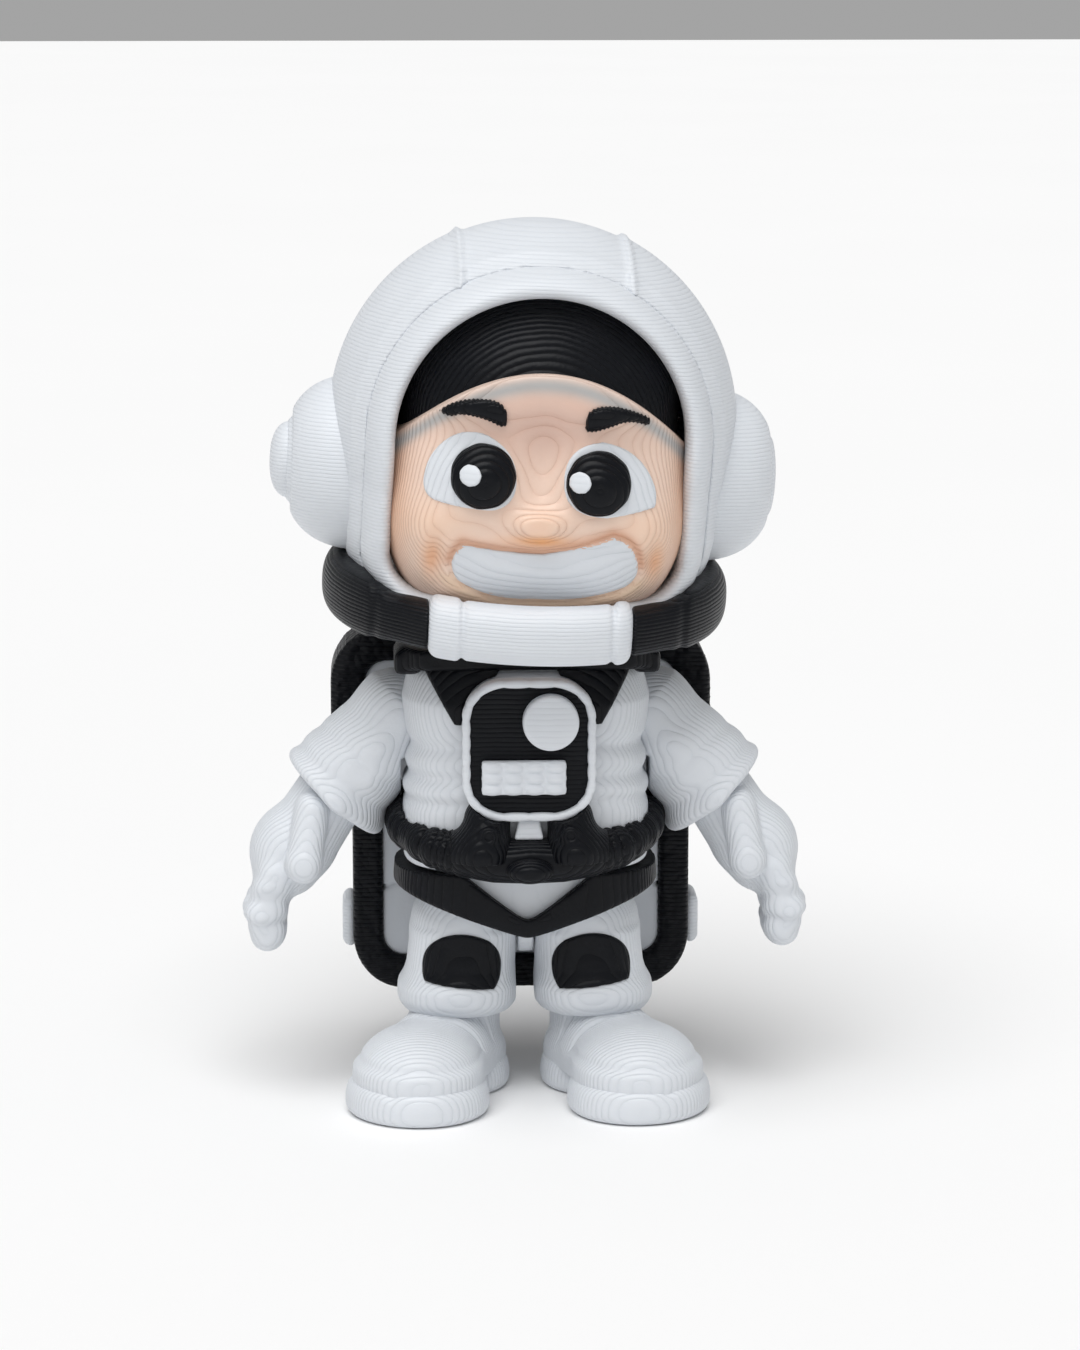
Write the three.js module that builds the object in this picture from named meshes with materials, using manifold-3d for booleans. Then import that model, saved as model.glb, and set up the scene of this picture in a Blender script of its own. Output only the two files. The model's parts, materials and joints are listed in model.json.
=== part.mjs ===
// Jointed toy astronaut, about 68 mm tall, printed in white, black and skin-coloured plastic.
// Millimetres, +Z up, the face looks along -Y, the figure's left side is +X.
import * as THREE from 'three';
import { mergeVertices } from 'three/addons/utils/BufferGeometryUtils.js';
import Module from 'manifold-3d';

const wasm = await Module();
wasm.setup();

// ---------- driving dimensions ----------
const GAP = 0.3;
const SKIN = 0.8;
const FAR = 60;
const TALL = 100;

const TORSO_HALF_WIDTH = 9.4;
const TORSO_BOTTOM = 18.6;
const TORSO_TOP = 34.2;
const TORSO_MIDDLE_Y = -1.2;

const YOKE_BOTTOM = TORSO_TOP + GAP;
const YOKE_TOP = 35.8;

const NECK = new THREE.Vector3(0, 0, 38.2);
const NECK_POST_RADIUS = 1.6;
const NECK_BALL_RADIUS = 2.3;
const HEAD_ROLL = THREE.MathUtils.degToRad(2.6);
const HEAD_YAW = THREE.MathUtils.degToRad(1.5);

const HELMET_RADIUS = 15.4;
const HELMET_CENTRE_Z = 52.1;
const HELMET_WALL = 2;
const HELMET_BOTTOM = 38.4;
const VISOR_HALF_WIDTH = 10.75;
const VISOR_TOP = 62.4;
const VISOR_BOTTOM = 40.2;
const VISOR_CORNER = 3.2;
const VISOR_RIM_WIDTH = 2.1;
const CHIN_GAP_HALF = 6.5;
const CHIN_GAP_TOP = 41.6;
const RIM_ROLL = 0.35;
const CROWN_RIDGE_X = 6.2;
const CROWN_RIDGE_TUBE = 0.35;

const RING_RADIUS = 13.65;
const RING_TUBE = 1.85;
const RING_Z = 39.25;
const RING_PITCH = THREE.MathUtils.degToRad(5);
const CLAMP_TUBE = 2.1;
const CLAMP_HALF_WIDTH = 7.4;

const FACE_CENTRE = new THREE.Vector3(0, -1.6, 50.4);
const FACE_HALF = new THREE.Vector3(11.3, 11.7, 12.6);
const FACE_SQUARENESS = 3;
const HAIRLINE_TOP = 56.9;
const HAIRLINE_DROP = 6.7;
const INLAY_DEPTH = 0.5;

const EAR_Z = 48.3;
const EAR_Y = 1.0;
const EAR_RADIUS = 6.6;
const EAR_OUTER_X = 18.7;
const KNOB_RADIUS = 2.7;
const KNOB_PROUD = 0.9;

const PANEL_CENTRE_Z = 28.5;
const PANEL_HALF_WIDTH = 5.0;
const PANEL_HALF_HEIGHT = 5.4;
const PANEL_CORNER = 3.0;
const PANEL_BACK_Y = -7.9;
const PANEL_FRONT_Y = -8.9;

const HOSE_TUBE = 1.7;
const HOSE_FRONT_Y = -8.5;
const HOSE_FRONT_Z = 19.9;
const HOSE_SIDE_X = 9.2;
const HOSE_SIDE_Z = 21.5;

const SHOULDER = new THREE.Vector3(9.9, 0.3, 29.9);
const SHOULDER_BALL = 3.55;
const STUD_ROD = 1.1;
const STUD_BALL = 1.8;
const ARM_RAISE = THREE.MathUtils.degToRad(55);
const ARM_LEAN = THREE.MathUtils.degToRad(36);
const SLEEVE_LENGTH = 9.2;
const CUFF_RADIUS = 4.65;
const WRIST_RADIUS = 2.9;

const HIP = new THREE.Vector3(4.7, -0.2, 13.0);
const HIP_BALL = 4.15;
const AXLE_RADIUS = 1.2;
const LUG_HALF_WIDTH = 0.6;
const HEM_BOTTOM = 6.4;
const ANKLE_X = 5.4;
const ANKLE_RADIUS = 3.35;
const ANKLE_TOP = 7.2;
const ANKLE_PEG = 1.3;
const TOE_OUT = THREE.MathUtils.degToRad(24);
const SOLE_TOP = 2.3;

const PACK_FRONT = 6.5;
const PACK_BACK = 13.4;
const PACK_TOP = 34.9;
const PACK_BOTTOM = 5.7;
const PACK_HALF_TOP = 14.9;
const PACK_HALF_BOTTOM = 13.3;
const PACK_FRAME_WIDTH = 2.6;

// ---------- colours ----------
const finish = (color, roughness) => () =>
  new THREE.MeshStandardMaterial({ color, roughness, metalness: 0 });
const white = finish(0xe9ebee, 0.5);
const black = finish(0x17181b, 0.42);
const peach = finish(0xf3bf9c, 0.5);

// ---------- solids ----------
const solid = (geometry) => {
  const bare = geometry.clone();
  bare.deleteAttribute('normal');
  bare.deleteAttribute('uv');
  const merged = mergeVertices(bare, 1e-4);
  const vertProperties = new Float32Array(merged.attributes.position.array);
  const triVerts = new Uint32Array(merged.index.array);
  return new wasm.Manifold(new wasm.Mesh({ numProp: 3, vertProperties, triVerts }));
};

const surface = (body) => {
  const mesh = body.getMesh();
  const geometry = new THREE.BufferGeometry();
  geometry.setAttribute('position', new THREE.BufferAttribute(mesh.vertProperties, 3));
  geometry.setIndex(new THREE.BufferAttribute(mesh.triVerts, 1));
  geometry.computeVertexNormals();
  return geometry;
};

const join = (...bodies) => bodies.reduce((sum, body) => sum.add(body));

const at = (geometry, x, y, z) => solid(geometry.translate(x, y, z));

const box = (x0, x1, y0, y1, z0, z1) => {
  const geometry = new THREE.BoxGeometry(x1 - x0, y1 - y0, z1 - z0);
  return at(geometry, (x0 + x1) / 2, (y0 + y1) / 2, (z0 + z1) / 2);
};

const ball = (radius, centre, squash = [1, 1, 1], round = 16) => {
  const geometry = new THREE.SphereGeometry(radius, round, Math.round(round * 0.6));
  return at(geometry.scale(...squash), centre.x, centre.y, centre.z);
};

const aimed = (geometry, from, to) => {
  const along = to.clone().sub(from);
  const upright = new THREE.Vector3(0, 1, 0);
  const turn = new THREE.Quaternion().setFromUnitVectors(upright, along.normalize());
  const middle = from.clone().add(to).multiplyScalar(0.5);
  return solid(geometry.applyQuaternion(turn).translate(middle.x, middle.y, middle.z));
};

const rod = (from, to, radius, round = 14) =>
  aimed(new THREE.CylinderGeometry(radius, radius, from.distanceTo(to), round), from, to);

const capsule = (from, to, radius, round = 8) =>
  aimed(new THREE.CapsuleGeometry(radius, from.distanceTo(to), 2, round), from, to);

// A body of revolution about Z; the profile holds [radius, z] pairs from the bottom up.
const spun = (profile, round = 24) => {
  const points = profile.map(([radius, z]) => new THREE.Vector2(radius, z));
  return solid(new THREE.LatheGeometry(points, round).rotateX(Math.PI / 2));
};

// A stack of rounded sections: levels hold z, half width, half depth and the section's middle.
const column = (levels, squareness, margin = 0, round = 24) => {
  const first = levels[0];
  const last = levels[levels.length - 1];
  const rings = levels.map((level) => [1, level.z]);
  const profile = [[0, first.z - margin], ...rings, [0, last.z + margin]];
  profile[1][1] -= margin;
  profile[profile.length - 2][1] += margin;
  const points = profile.map(([radius, z]) => new THREE.Vector2(radius, z));
  const geometry = new THREE.LatheGeometry(points, round).rotateX(Math.PI / 2);
  const place = geometry.attributes.position;
  for (let i = 0; i < place.count; i += 1) {
    const z = place.getZ(i);
    let k = levels.findIndex((level) => level.z >= z - 1e-6);
    if (k < 0) k = levels.length - 1;
    const level = levels[k];
    const radius = Math.hypot(place.getX(i), place.getY(i));
    const angle = Math.atan2(place.getY(i), place.getX(i));
    const cos = Math.cos(angle);
    const sin = Math.sin(angle);
    const power = Math.abs(cos) ** squareness + Math.abs(sin) ** squareness;
    const reach = radius / power ** (1 / squareness);
    const x = (level.x ?? 0) + reach * cos * (level.halfWidth + margin);
    const y = (level.y ?? 0) + reach * sin * (level.halfDepth + margin);
    place.setXYZ(i, x, y, z);
  }
  return solid(geometry);
};

// A flat outline in the XZ plane, made thick from y0 to y1.
const frontPlate = (shape, y0, y1, curveSegments = 8) => {
  const options = { depth: y1 - y0, bevelEnabled: false, curveSegments };
  const geometry = new THREE.ExtrudeGeometry(shape, options);
  return solid(geometry.rotateX(Math.PI / 2).translate(0, y1, 0));
};

const roundedRectangle = (halfWidth, halfHeight, corner, x = 0, z = 0) => {
  const shape = new THREE.Shape();
  const right = x + halfWidth - corner;
  const left = x - halfWidth + corner;
  const top = z + halfHeight - corner;
  const bottom = z - halfHeight + corner;
  shape.absarc(right, bottom, corner, -Math.PI / 2, 0);
  shape.absarc(right, top, corner, 0, Math.PI / 2);
  shape.absarc(left, top, corner, Math.PI / 2, Math.PI);
  shape.absarc(left, bottom, corner, Math.PI, Math.PI * 1.5);
  shape.closePath();
  return shape;
};

const polygon = (corners) => new THREE.Shape(corners.map(([x, z]) => new THREE.Vector2(x, z)));

const disc = (radius, x, z, squash = 1) => {
  const shape = new THREE.Shape();
  shape.absellipse(x, z, radius, radius * squash, 0, Math.PI * 2);
  return shape;
};

// ---------- the figure and its pieces ----------
const figure = new THREE.Group();
figure.name = 'astronaut_figure';

const add = (name, body, material) => {
  const mesh = new THREE.Mesh(surface(body), material());
  mesh.name = name;
  figure.add(mesh);
};

const SIDES = [
  { name: 'left', sign: 1 },
  { name: 'right', sign: -1 },
];

const sided = (vector, sign) => new THREE.Vector3(vector.x * sign, vector.y, vector.z);

// ---------- torso ----------
const torsoLevels = [
  { z: TORSO_BOTTOM, halfWidth: 8.7, halfDepth: 5.9, y: TORSO_MIDDLE_Y },
  { z: 21.5, halfWidth: 9.2, halfDepth: 6.3, y: TORSO_MIDDLE_Y },
  { z: 27.0, halfWidth: TORSO_HALF_WIDTH, halfDepth: 6.4, y: TORSO_MIDDLE_Y },
  { z: 32.0, halfWidth: TORSO_HALF_WIDTH, halfDepth: 6.2, y: TORSO_MIDDLE_Y },
  { z: TORSO_TOP, halfWidth: 8.9, halfDepth: 5.6, y: TORSO_MIDDLE_Y },
];
const TORSO_SQUARENESS = 3;
const torsoForm = (margin) => column(torsoLevels, TORSO_SQUARENESS, margin);

const neckFloor = new THREE.Vector3(0, 0, 28.5);
const neckHole = rod(neckFloor, neckFloor.clone().setZ(40), NECK_POST_RADIUS + GAP);

const shoulderPockets = join(...SIDES.map(({ sign }) => {
  const centre = sided(SHOULDER, sign);
  const inner = new THREE.Vector3(4.6 * sign, centre.y, centre.z);
  const hollow = ball(SHOULDER_BALL + GAP, centre, [1, 1, 1], 20);
  return join(hollow, rod(inner, centre, STUD_ROD + GAP, 12));
}));

const PACK_PEGS = [
  { name: 'upper_backpack_peg', z: 30.5 },
  { name: 'lower_backpack_peg', z: 23.0 },
];
const PEG_RADIUS = 1.3;
const PEG_FRONT = 3.0;
const PEG_BACK = 10.2;
const pegAt = (z, margin) => {
  const front = new THREE.Vector3(0, PEG_FRONT - margin, z);
  const back = new THREE.Vector3(0, PEG_BACK + margin, z);
  return rod(front, back, PEG_RADIUS + margin, 12);
};
const pegHoles = join(...PACK_PEGS.map(({ z }) => pegAt(z, GAP)));

const addTorso = () => {
  const shell = torsoForm(0).subtract(neckHole).subtract(shoulderPockets).subtract(pegHoles);
  add('torso_shell', shell, white);

  const yokeLevels = [
    { z: YOKE_BOTTOM, halfWidth: 9.7, halfDepth: 6.3, y: TORSO_MIDDLE_Y },
    { z: YOKE_TOP, halfWidth: 9.2, halfDepth: 5.9, y: TORSO_MIDDLE_Y },
  ];
  add('shoulder_yoke', column(yokeLevels, TORSO_SQUARENESS).subtract(neckHole), black);
};

// The panel's outline, smaller all round by the inset.
const panelOutline = (inset) => roundedRectangle(
  PANEL_HALF_WIDTH - inset,
  PANEL_HALF_HEIGHT - inset,
  PANEL_CORNER - inset,
  0,
  PANEL_CENTRE_Z,
);
const panelRoom = frontPlate(panelOutline(-GAP), -FAR, 0);

const addStraps = () => {
  const layer = torsoForm(GAP + SKIN).subtract(torsoForm(GAP));
  const front = box(-FAR, FAR, -FAR, -3, TORSO_BOTTOM, TORSO_TOP);
  SIDES.forEach(({ name, sign }) => {
    const corners = [[2.2, TORSO_TOP], [7.2, TORSO_TOP], [5.2, 30.6], [3.4, 31.6]];
    const ordered = sign > 0 ? corners : corners.map(([x, z]) => [-x, z]).reverse();
    const outline = frontPlate(polygon(ordered), -FAR, 0);
    const strap = layer.intersect(front).intersect(outline).subtract(panelRoom);
    add(`${name}_harness_strap`, strap, black);
  });
};

// ---------- chest panel ----------
const RIM_WIDTH = 0.9;
const RIM_PROUD = 0.6;
const DIAL = { x: 1.6, z: 30.7, radius: 2.0, thickness: 0.7 };
const BUTTONS = {
  x: -0.4,
  z: 26.5,
  halfWidth: 3.25,
  halfHeight: 1.35,
  columns: 4,
  rows: 3,
  capHalf: 0.62,
  capTall: 0.34,
  bed: 0.4,
  thickness: 0.8,
};

const addPanel = () => {
  const plateOutline = panelOutline(RIM_WIDTH + GAP);
  add('panel_plate', frontPlate(plateOutline, PANEL_FRONT_Y, PANEL_BACK_Y), black);

  const rim = frontPlate(panelOutline(0), PANEL_FRONT_Y - RIM_PROUD, PANEL_BACK_Y)
    .subtract(frontPlate(panelOutline(RIM_WIDTH), -FAR, 0));
  add('panel_rim', rim, white);

  const detailBack = PANEL_FRONT_Y - GAP;
  const dialOutline = disc(DIAL.radius, DIAL.x, DIAL.z);
  add('panel_dial', frontPlate(dialOutline, detailBack - DIAL.thickness, detailBack, 12), white);

  const { x, z, halfWidth, halfHeight, columns, rows, capHalf, capTall } = BUTTONS;
  const bedOutline = roundedRectangle(halfWidth, halfHeight, 0.4, x, z);
  const bed = frontPlate(bedOutline, detailBack - BUTTONS.bed, detailBack, 2);
  const caps = [];
  for (let i = 0; i < columns; i += 1) {
    for (let j = 0; j < rows; j += 1) {
      const capX = x + halfWidth * ((2 * i + 1) / columns - 1);
      const capZ = z + halfHeight * ((2 * j + 1) / rows - 1);
      const capFront = detailBack - BUTTONS.thickness;
      const capBack = detailBack - BUTTONS.bed + 0.1;
      const cap = box(
        capX - capHalf, capX + capHalf, capFront, capBack, capZ - capTall, capZ + capTall);
      caps.push(cap);
    }
  }
  add('panel_button_block', join(bed, ...caps), white);
};

// ---------- waist ----------
const hosePath = new THREE.CatmullRomCurve3([
  new THREE.Vector3(HOSE_SIDE_X - 0.6, 4.4, HOSE_SIDE_Z + 0.3),
  new THREE.Vector3(HOSE_SIDE_X, 0, HOSE_SIDE_Z),
  new THREE.Vector3(8.2, -4.4, 20.9),
  new THREE.Vector3(4.8, -7.7, 20.2),
  new THREE.Vector3(0, HOSE_FRONT_Y, HOSE_FRONT_Z),
  new THREE.Vector3(-4.8, -7.7, 20.2),
  new THREE.Vector3(-8.2, -4.4, 20.9),
  new THREE.Vector3(-HOSE_SIDE_X, 0, HOSE_SIDE_Z),
  new THREE.Vector3(-HOSE_SIDE_X + 0.6, 4.4, HOSE_SIDE_Z + 0.3),
]);
const hose = (radius) => {
  const section = disc(radius, 0, 0);
  const options = { extrudePath: hosePath, steps: 22, curveSegments: 5, bevelEnabled: false };
  return solid(new THREE.ExtrudeGeometry(section, options));
};
const FITTING = {
  x: 3.2,
  y: -8.3,
  radius: 1.45,
  top: PANEL_CENTRE_Z - PANEL_HALF_HEIGHT + 1.1,
  bossZ: 22.1,
  bossRadius: 0.65,
  bossFront: -10.3,
};
const COUPLING_SQUASH = [1, 0.75, 0.62];

const addWaist = () => {
  const torsoRoom = torsoForm(GAP);
  const wideHose = hose(HOSE_TUBE + GAP);
  add('waist_hose', hose(HOSE_TUBE).subtract(torsoRoom), black);

  SIDES.forEach(({ name, sign }) => {
    const foot = new THREE.Vector3(FITTING.x * sign, FITTING.y, HOSE_FRONT_Z);
    const head = foot.clone().setZ(FITTING.top);
    const boss = foot.clone().setZ(FITTING.bossZ);
    const bossFront = boss.clone().setY(FITTING.bossFront);
    const fitting = join(
      rod(foot, head, FITTING.radius, 14),
      rod(boss, bossFront, FITTING.bossRadius, 12),
    );
    const cutFitting = fitting.subtract(torsoRoom).subtract(wideHose).subtract(panelRoom);
    add(`${name}_hose_fitting`, cutFitting, black);
  });

  const tab = box(-1.0, 1.0, -9.0, TORSO_MIDDLE_Y, 21.9, 22.8);
  add('buckle_tab', tab.subtract(torsoRoom).subtract(wideHose), white);

  const couplingCentre = new THREE.Vector3(0, HOSE_FRONT_Y - 1.2, HOSE_FRONT_Z - 0.3);
  const coupling = ball(2.4, couplingCentre, COUPLING_SQUASH, 16);
  add('hose_coupling', coupling.subtract(wideHose).subtract(torsoRoom), black);
};

// ---------- pelvis ----------
const PELVIS_TOP = TORSO_BOTTOM - GAP;
const pelvisLevels = [
  { z: 11.2, halfWidth: 8.4, halfDepth: 5.2, y: -0.6 },
  { z: 15.0, halfWidth: 8.9, halfDepth: 5.6, y: -0.6 },
  { z: PELVIS_TOP, halfWidth: 8.7, halfDepth: 5.6, y: -0.8 },
];
const PELVIS_SQUARENESS = 2.6;
const pelvisForm = (margin) => column(pelvisLevels, PELVIS_SQUARENESS, margin);
const CROTCH_Z = 13.4;
const SIDE_Z = 16.3;
const BAND_HEIGHT = 1.5;

const LUG_RADIUS = 2.3;
const acrossHips = (radius, reach, round = 18) => {
  const start = new THREE.Vector3(-reach, HIP.y, HIP.z);
  const end = new THREE.Vector3(reach, HIP.y, HIP.z);
  return rod(start, end, radius, round);
};

const addPelvis = () => {
  const aboveV = (rise) => frontPlate(polygon([
    [-10, SIDE_Z + rise], [0, CROTCH_Z + rise], [10, SIDE_Z + rise], [10, 30], [-10, 30],
  ]), -FAR, FAR);
  const pocket = (sign) => ball(HIP_BALL + GAP, sided(HIP, sign), [1, 1, 1], 18);
  const pockets = join(...SIDES.map(({ sign }) => pocket(sign)));
  const lugDisc = acrossHips(LUG_RADIUS, LUG_HALF_WIDTH, 14);
  const lugNeck = box(
    -LUG_HALF_WIDTH, LUG_HALF_WIDTH, HIP.y - LUG_RADIUS, HIP.y + LUG_RADIUS, HIP.z, PELVIS_TOP - 1);
  const block = pelvisForm(0).intersect(aboveV(0)).subtract(pockets);
  const axleHole = acrossHips(AXLE_RADIUS + GAP, 3);
  add('pelvis_block', join(block, lugDisc, lugNeck).subtract(axleHole), white);

  const layer = pelvisForm(GAP + SKIN).subtract(pelvisForm(GAP));
  const belowTop = box(-FAR, FAR, -FAR, FAR, 12, PELVIS_TOP);
  const band = layer.intersect(aboveV(0)).subtract(aboveV(BAND_HEIGHT)).intersect(belowTop);
  add('pelvis_band', band, black);
  add('hip_axle', acrossHips(AXLE_RADIUS, HIP.x), black);
};

// ---------- backpack ----------
const packOutline = (inset) => {
  const corner = 4.2 - inset * 0.6;
  const top = PACK_TOP - inset;
  const bottom = PACK_BOTTOM + inset;
  const upper = PACK_HALF_TOP - inset;
  const lower = PACK_HALF_BOTTOM - inset;
  const shape = new THREE.Shape();
  shape.absarc(lower - corner, bottom + corner, corner, -Math.PI / 2, 0);
  shape.lineTo(lower, 20);
  shape.lineTo(upper, 23);
  shape.absarc(upper - corner, top - corner, corner, 0, Math.PI / 2);
  shape.absarc(corner - upper, top - corner, corner, Math.PI / 2, Math.PI);
  shape.lineTo(-upper, 23);
  shape.lineTo(-lower, 20);
  shape.absarc(corner - lower, bottom + corner, corner, Math.PI, Math.PI * 1.5);
  shape.closePath();
  return shape;
};

const addBackpack = () => {
  const frame = frontPlate(packOutline(0), PACK_FRONT, PACK_BACK - 1.2, 6)
    .subtract(frontPlate(packOutline(PACK_FRAME_WIDTH), 0, 20, 6));
  add('backpack_frame', frame, black);

  const inner = PACK_FRAME_WIDTH + GAP;
  const shell = frontPlate(packOutline(inner), PACK_FRONT + 0.7, PACK_BACK - 0.6, 6)
    .add(frontPlate(packOutline(inner + 1.4), PACK_FRONT + 0.7, PACK_BACK, 6));
  add('backpack_shell', shell.subtract(pegHoles), white);

  SIDES.forEach(({ name, sign }) => {
    const inside = (PACK_HALF_BOTTOM + GAP) * sign;
    const outside = (PACK_HALF_BOTTOM + 1.1) * sign;
    const pod = box(Math.min(inside, outside), Math.max(inside, outside), 7.4, 11.4, 8.9, 13.0);
    add(`${name}_side_pod`, pod, white);
  });

  PACK_PEGS.forEach(({ name, z }) => add(name, pegAt(z, 0), black));
};

// ---------- neck and head ----------
const headTurn = new THREE.Matrix4()
  .makeRotationFromEuler(new THREE.Euler(0, HEAD_ROLL, HEAD_YAW, 'ZYX'));
const headTilt = new THREE.Matrix4()
  .makeTranslation(NECK.x, NECK.y, NECK.z)
  .multiply(headTurn)
  .multiply(new THREE.Matrix4().makeTranslation(-NECK.x, -NECK.y, -NECK.z));
const tilted = (body) => body.transform(headTilt.elements);

const helmetProfile = (inset) => {
  const radius = HELMET_RADIUS - inset;
  const profile = [
    [0, HELMET_BOTTOM],
    [12.7 - inset, HELMET_BOTTOM],
    [13.2 - inset, 40.5],
    [14.3 - inset, 44.0],
  ];
  const steps = 9;
  const start = -0.28;
  for (let i = 0; i <= steps; i += 1) {
    const angle = start + (Math.PI / 2 - start) * (i / steps);
    const reach = i === steps ? 0 : radius * Math.cos(angle);
    profile.push([reach, HELMET_CENTRE_Z + radius * Math.sin(angle)]);
  }
  return profile;
};
const helmetForm = (inset) => spun(helmetProfile(inset), 34);

// The visor opening seen from the front: a round arch, straight sides and a flat chin.
const visorArch = (margin) => {
  const half = VISOR_HALF_WIDTH + margin;
  const corner = VISOR_CORNER + margin;
  const cornerZ = VISOR_BOTTOM + VISOR_CORNER;
  const shape = new THREE.Shape();
  shape.absarc(half - corner, cornerZ, corner, -Math.PI / 2, 0);
  shape.absarc(0, VISOR_TOP - VISOR_HALF_WIDTH, half, 0, Math.PI);
  shape.absarc(corner - half, cornerZ, corner, Math.PI, Math.PI * 1.5);
  shape.closePath();
  return frontPlate(shape, -FAR, 0, 10);
};

// The neck ring leans down at the front and rolls with the head.
const ringTube = (radius) => {
  const torus = new THREE.TorusGeometry(RING_RADIUS, radius, 10, 36);
  return at(torus.rotateX(RING_PITCH).rotateY(HEAD_ROLL), 0, 0, RING_Z);
};

const addNeckAndRing = () => {
  const foot = new THREE.Vector3(0, 0, 29);
  add('neck_post', join(rod(foot, NECK, NECK_POST_RADIUS), ball(NECK_BALL_RADIUS, NECK)), black);

  const clampCut = (half) => box(-half, half, -FAR, 0, 30, 45);
  add('neck_ring', ringTube(RING_TUBE).subtract(clampCut(CLAMP_HALF_WIDTH + GAP)), black);
  add('ring_clamp', ringTube(CLAMP_TUBE).intersect(clampCut(CLAMP_HALF_WIDTH)), white);
};

const earForm = (sign) => {
  const profile = [
    [0, 13.0],
    [EAR_RADIUS - 0.4, 13.0],
    [EAR_RADIUS, 15.0],
    [EAR_RADIUS - 0.1, 16.4],
    [EAR_RADIUS - 0.8, 17.6],
    [EAR_RADIUS - 2.2, EAR_OUTER_X],
    [0, EAR_OUTER_X],
  ];
  const points = profile.map(([radius, x]) => new THREE.Vector2(radius, x));
  const geometry = new THREE.LatheGeometry(points, 20).rotateZ(-Math.PI / 2 * sign);
  return at(geometry, 0, EAR_Y, EAR_Z);
};

const addHelmet = () => {
  const ringRoom = ringTube(CLAMP_TUBE + GAP);
  const opening = visorArch(VISOR_RIM_WIDTH + GAP);
  const ridgeRadius = Math.sqrt(HELMET_RADIUS ** 2 - CROWN_RIDGE_X ** 2);
  const upper = box(-FAR, FAR, -FAR, FAR, HELMET_CENTRE_Z + 3, TALL);
  const ridges = SIDES.map(({ sign }) => {
    const torus = new THREE.TorusGeometry(ridgeRadius, CROWN_RIDGE_TUBE, 4, 30);
    const ridge = at(torus.rotateY(Math.PI / 2), CROWN_RIDGE_X * sign, 0, HELMET_CENTRE_Z);
    return ridge.intersect(upper);
  });
  const neckOpening = box(-9, 9, -9, 9, 30, 45);
  const shell = join(helmetForm(0), ...ridges)
    .subtract(helmetForm(HELMET_WALL))
    .subtract(neckOpening)
    .subtract(opening);
  const aboveNeck = box(-FAR, FAR, -FAR, FAR, NECK.z + 1, TALL);
  add('helmet_shell', tilted(shell).subtract(ringRoom).intersect(aboveNeck), white);

  const frontHalf = box(-FAR, FAR, -FAR, -GAP, NECK.z + 1, TALL);
  const chinGap = box(-CHIN_GAP_HALF, CHIN_GAP_HALF, -FAR, 0, 30, CHIN_GAP_TOP);
  const rimBand = helmetForm(-RIM_ROLL)
    .subtract(helmetForm(HELMET_WALL))
    .intersect(visorArch(VISOR_RIM_WIDTH))
    .subtract(visorArch(0))
    .intersect(frontHalf)
    .subtract(chinGap);
  add('visor_rim', tilted(rimBand).subtract(ringRoom), white);

  SIDES.forEach(({ name, sign }) => {
    const cup = earForm(sign).subtract(helmetForm(-GAP));
    add(`${name}_ear_cup`, tilted(cup).subtract(ringRoom), white);
  });
  const knobFoot = new THREE.Vector3(-EAR_OUTER_X - GAP, EAR_Y, EAR_Z);
  const knobEnd = knobFoot.clone().setX(knobFoot.x - KNOB_PROUD);
  add('right_ear_knob', tilted(rod(knobFoot, knobEnd, KNOB_RADIUS, 20)), white);
};

// ---------- face ----------
const faceForm = (margin) => {
  const geometry = new THREE.SphereGeometry(1, 28, 18);
  const place = geometry.attributes.position;
  for (let i = 0; i < place.count; i += 1) {
    const direction = new THREE.Vector3().fromBufferAttribute(place, i);
    const parts = direction.toArray().map((part) => Math.abs(part) ** FACE_SQUARENESS);
    const reach = (parts[0] + parts[1] + parts[2]) ** (-1 / FACE_SQUARENESS);
    const half = FACE_HALF.clone().addScalar(margin);
    const point = direction.multiplyScalar(reach).multiply(half);
    place.setXYZ(i, point.x, point.y, point.z);
  }
  return at(geometry, FACE_CENTRE.x, FACE_CENTRE.y, FACE_CENTRE.z);
};

const hairRegion = (lift) => {
  const shape = new THREE.Shape();
  const edge = HAIRLINE_TOP - HAIRLINE_DROP + lift;
  const control = HAIRLINE_TOP + HAIRLINE_DROP + lift;
  shape.moveTo(-12, edge);
  shape.quadraticCurveTo(0, control, 12, edge);
  shape.lineTo(12, 70);
  shape.lineTo(-12, 70);
  shape.closePath();
  return frontPlate(shape, -FAR, -2, 12);
};

const EYES = [
  { name: 'left', white: [4.75, 49.55], pupil: [4.05, 49.4], glint: [2.7, 49.6] },
  { name: 'right', white: [-5.0, 49.75], pupil: [-4.35, 49.65], glint: [-5.35, 49.9] },
];
const EYE_HALF_WIDTH = 3.75;
const EYE_HALF_HEIGHT = 3.35;
const PUPIL_RADIUS = 2.35;
const GLINT_RADIUS = 0.78;
const frontInlay = (shape) => frontPlate(shape, -FAR, -6, 10);

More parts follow.
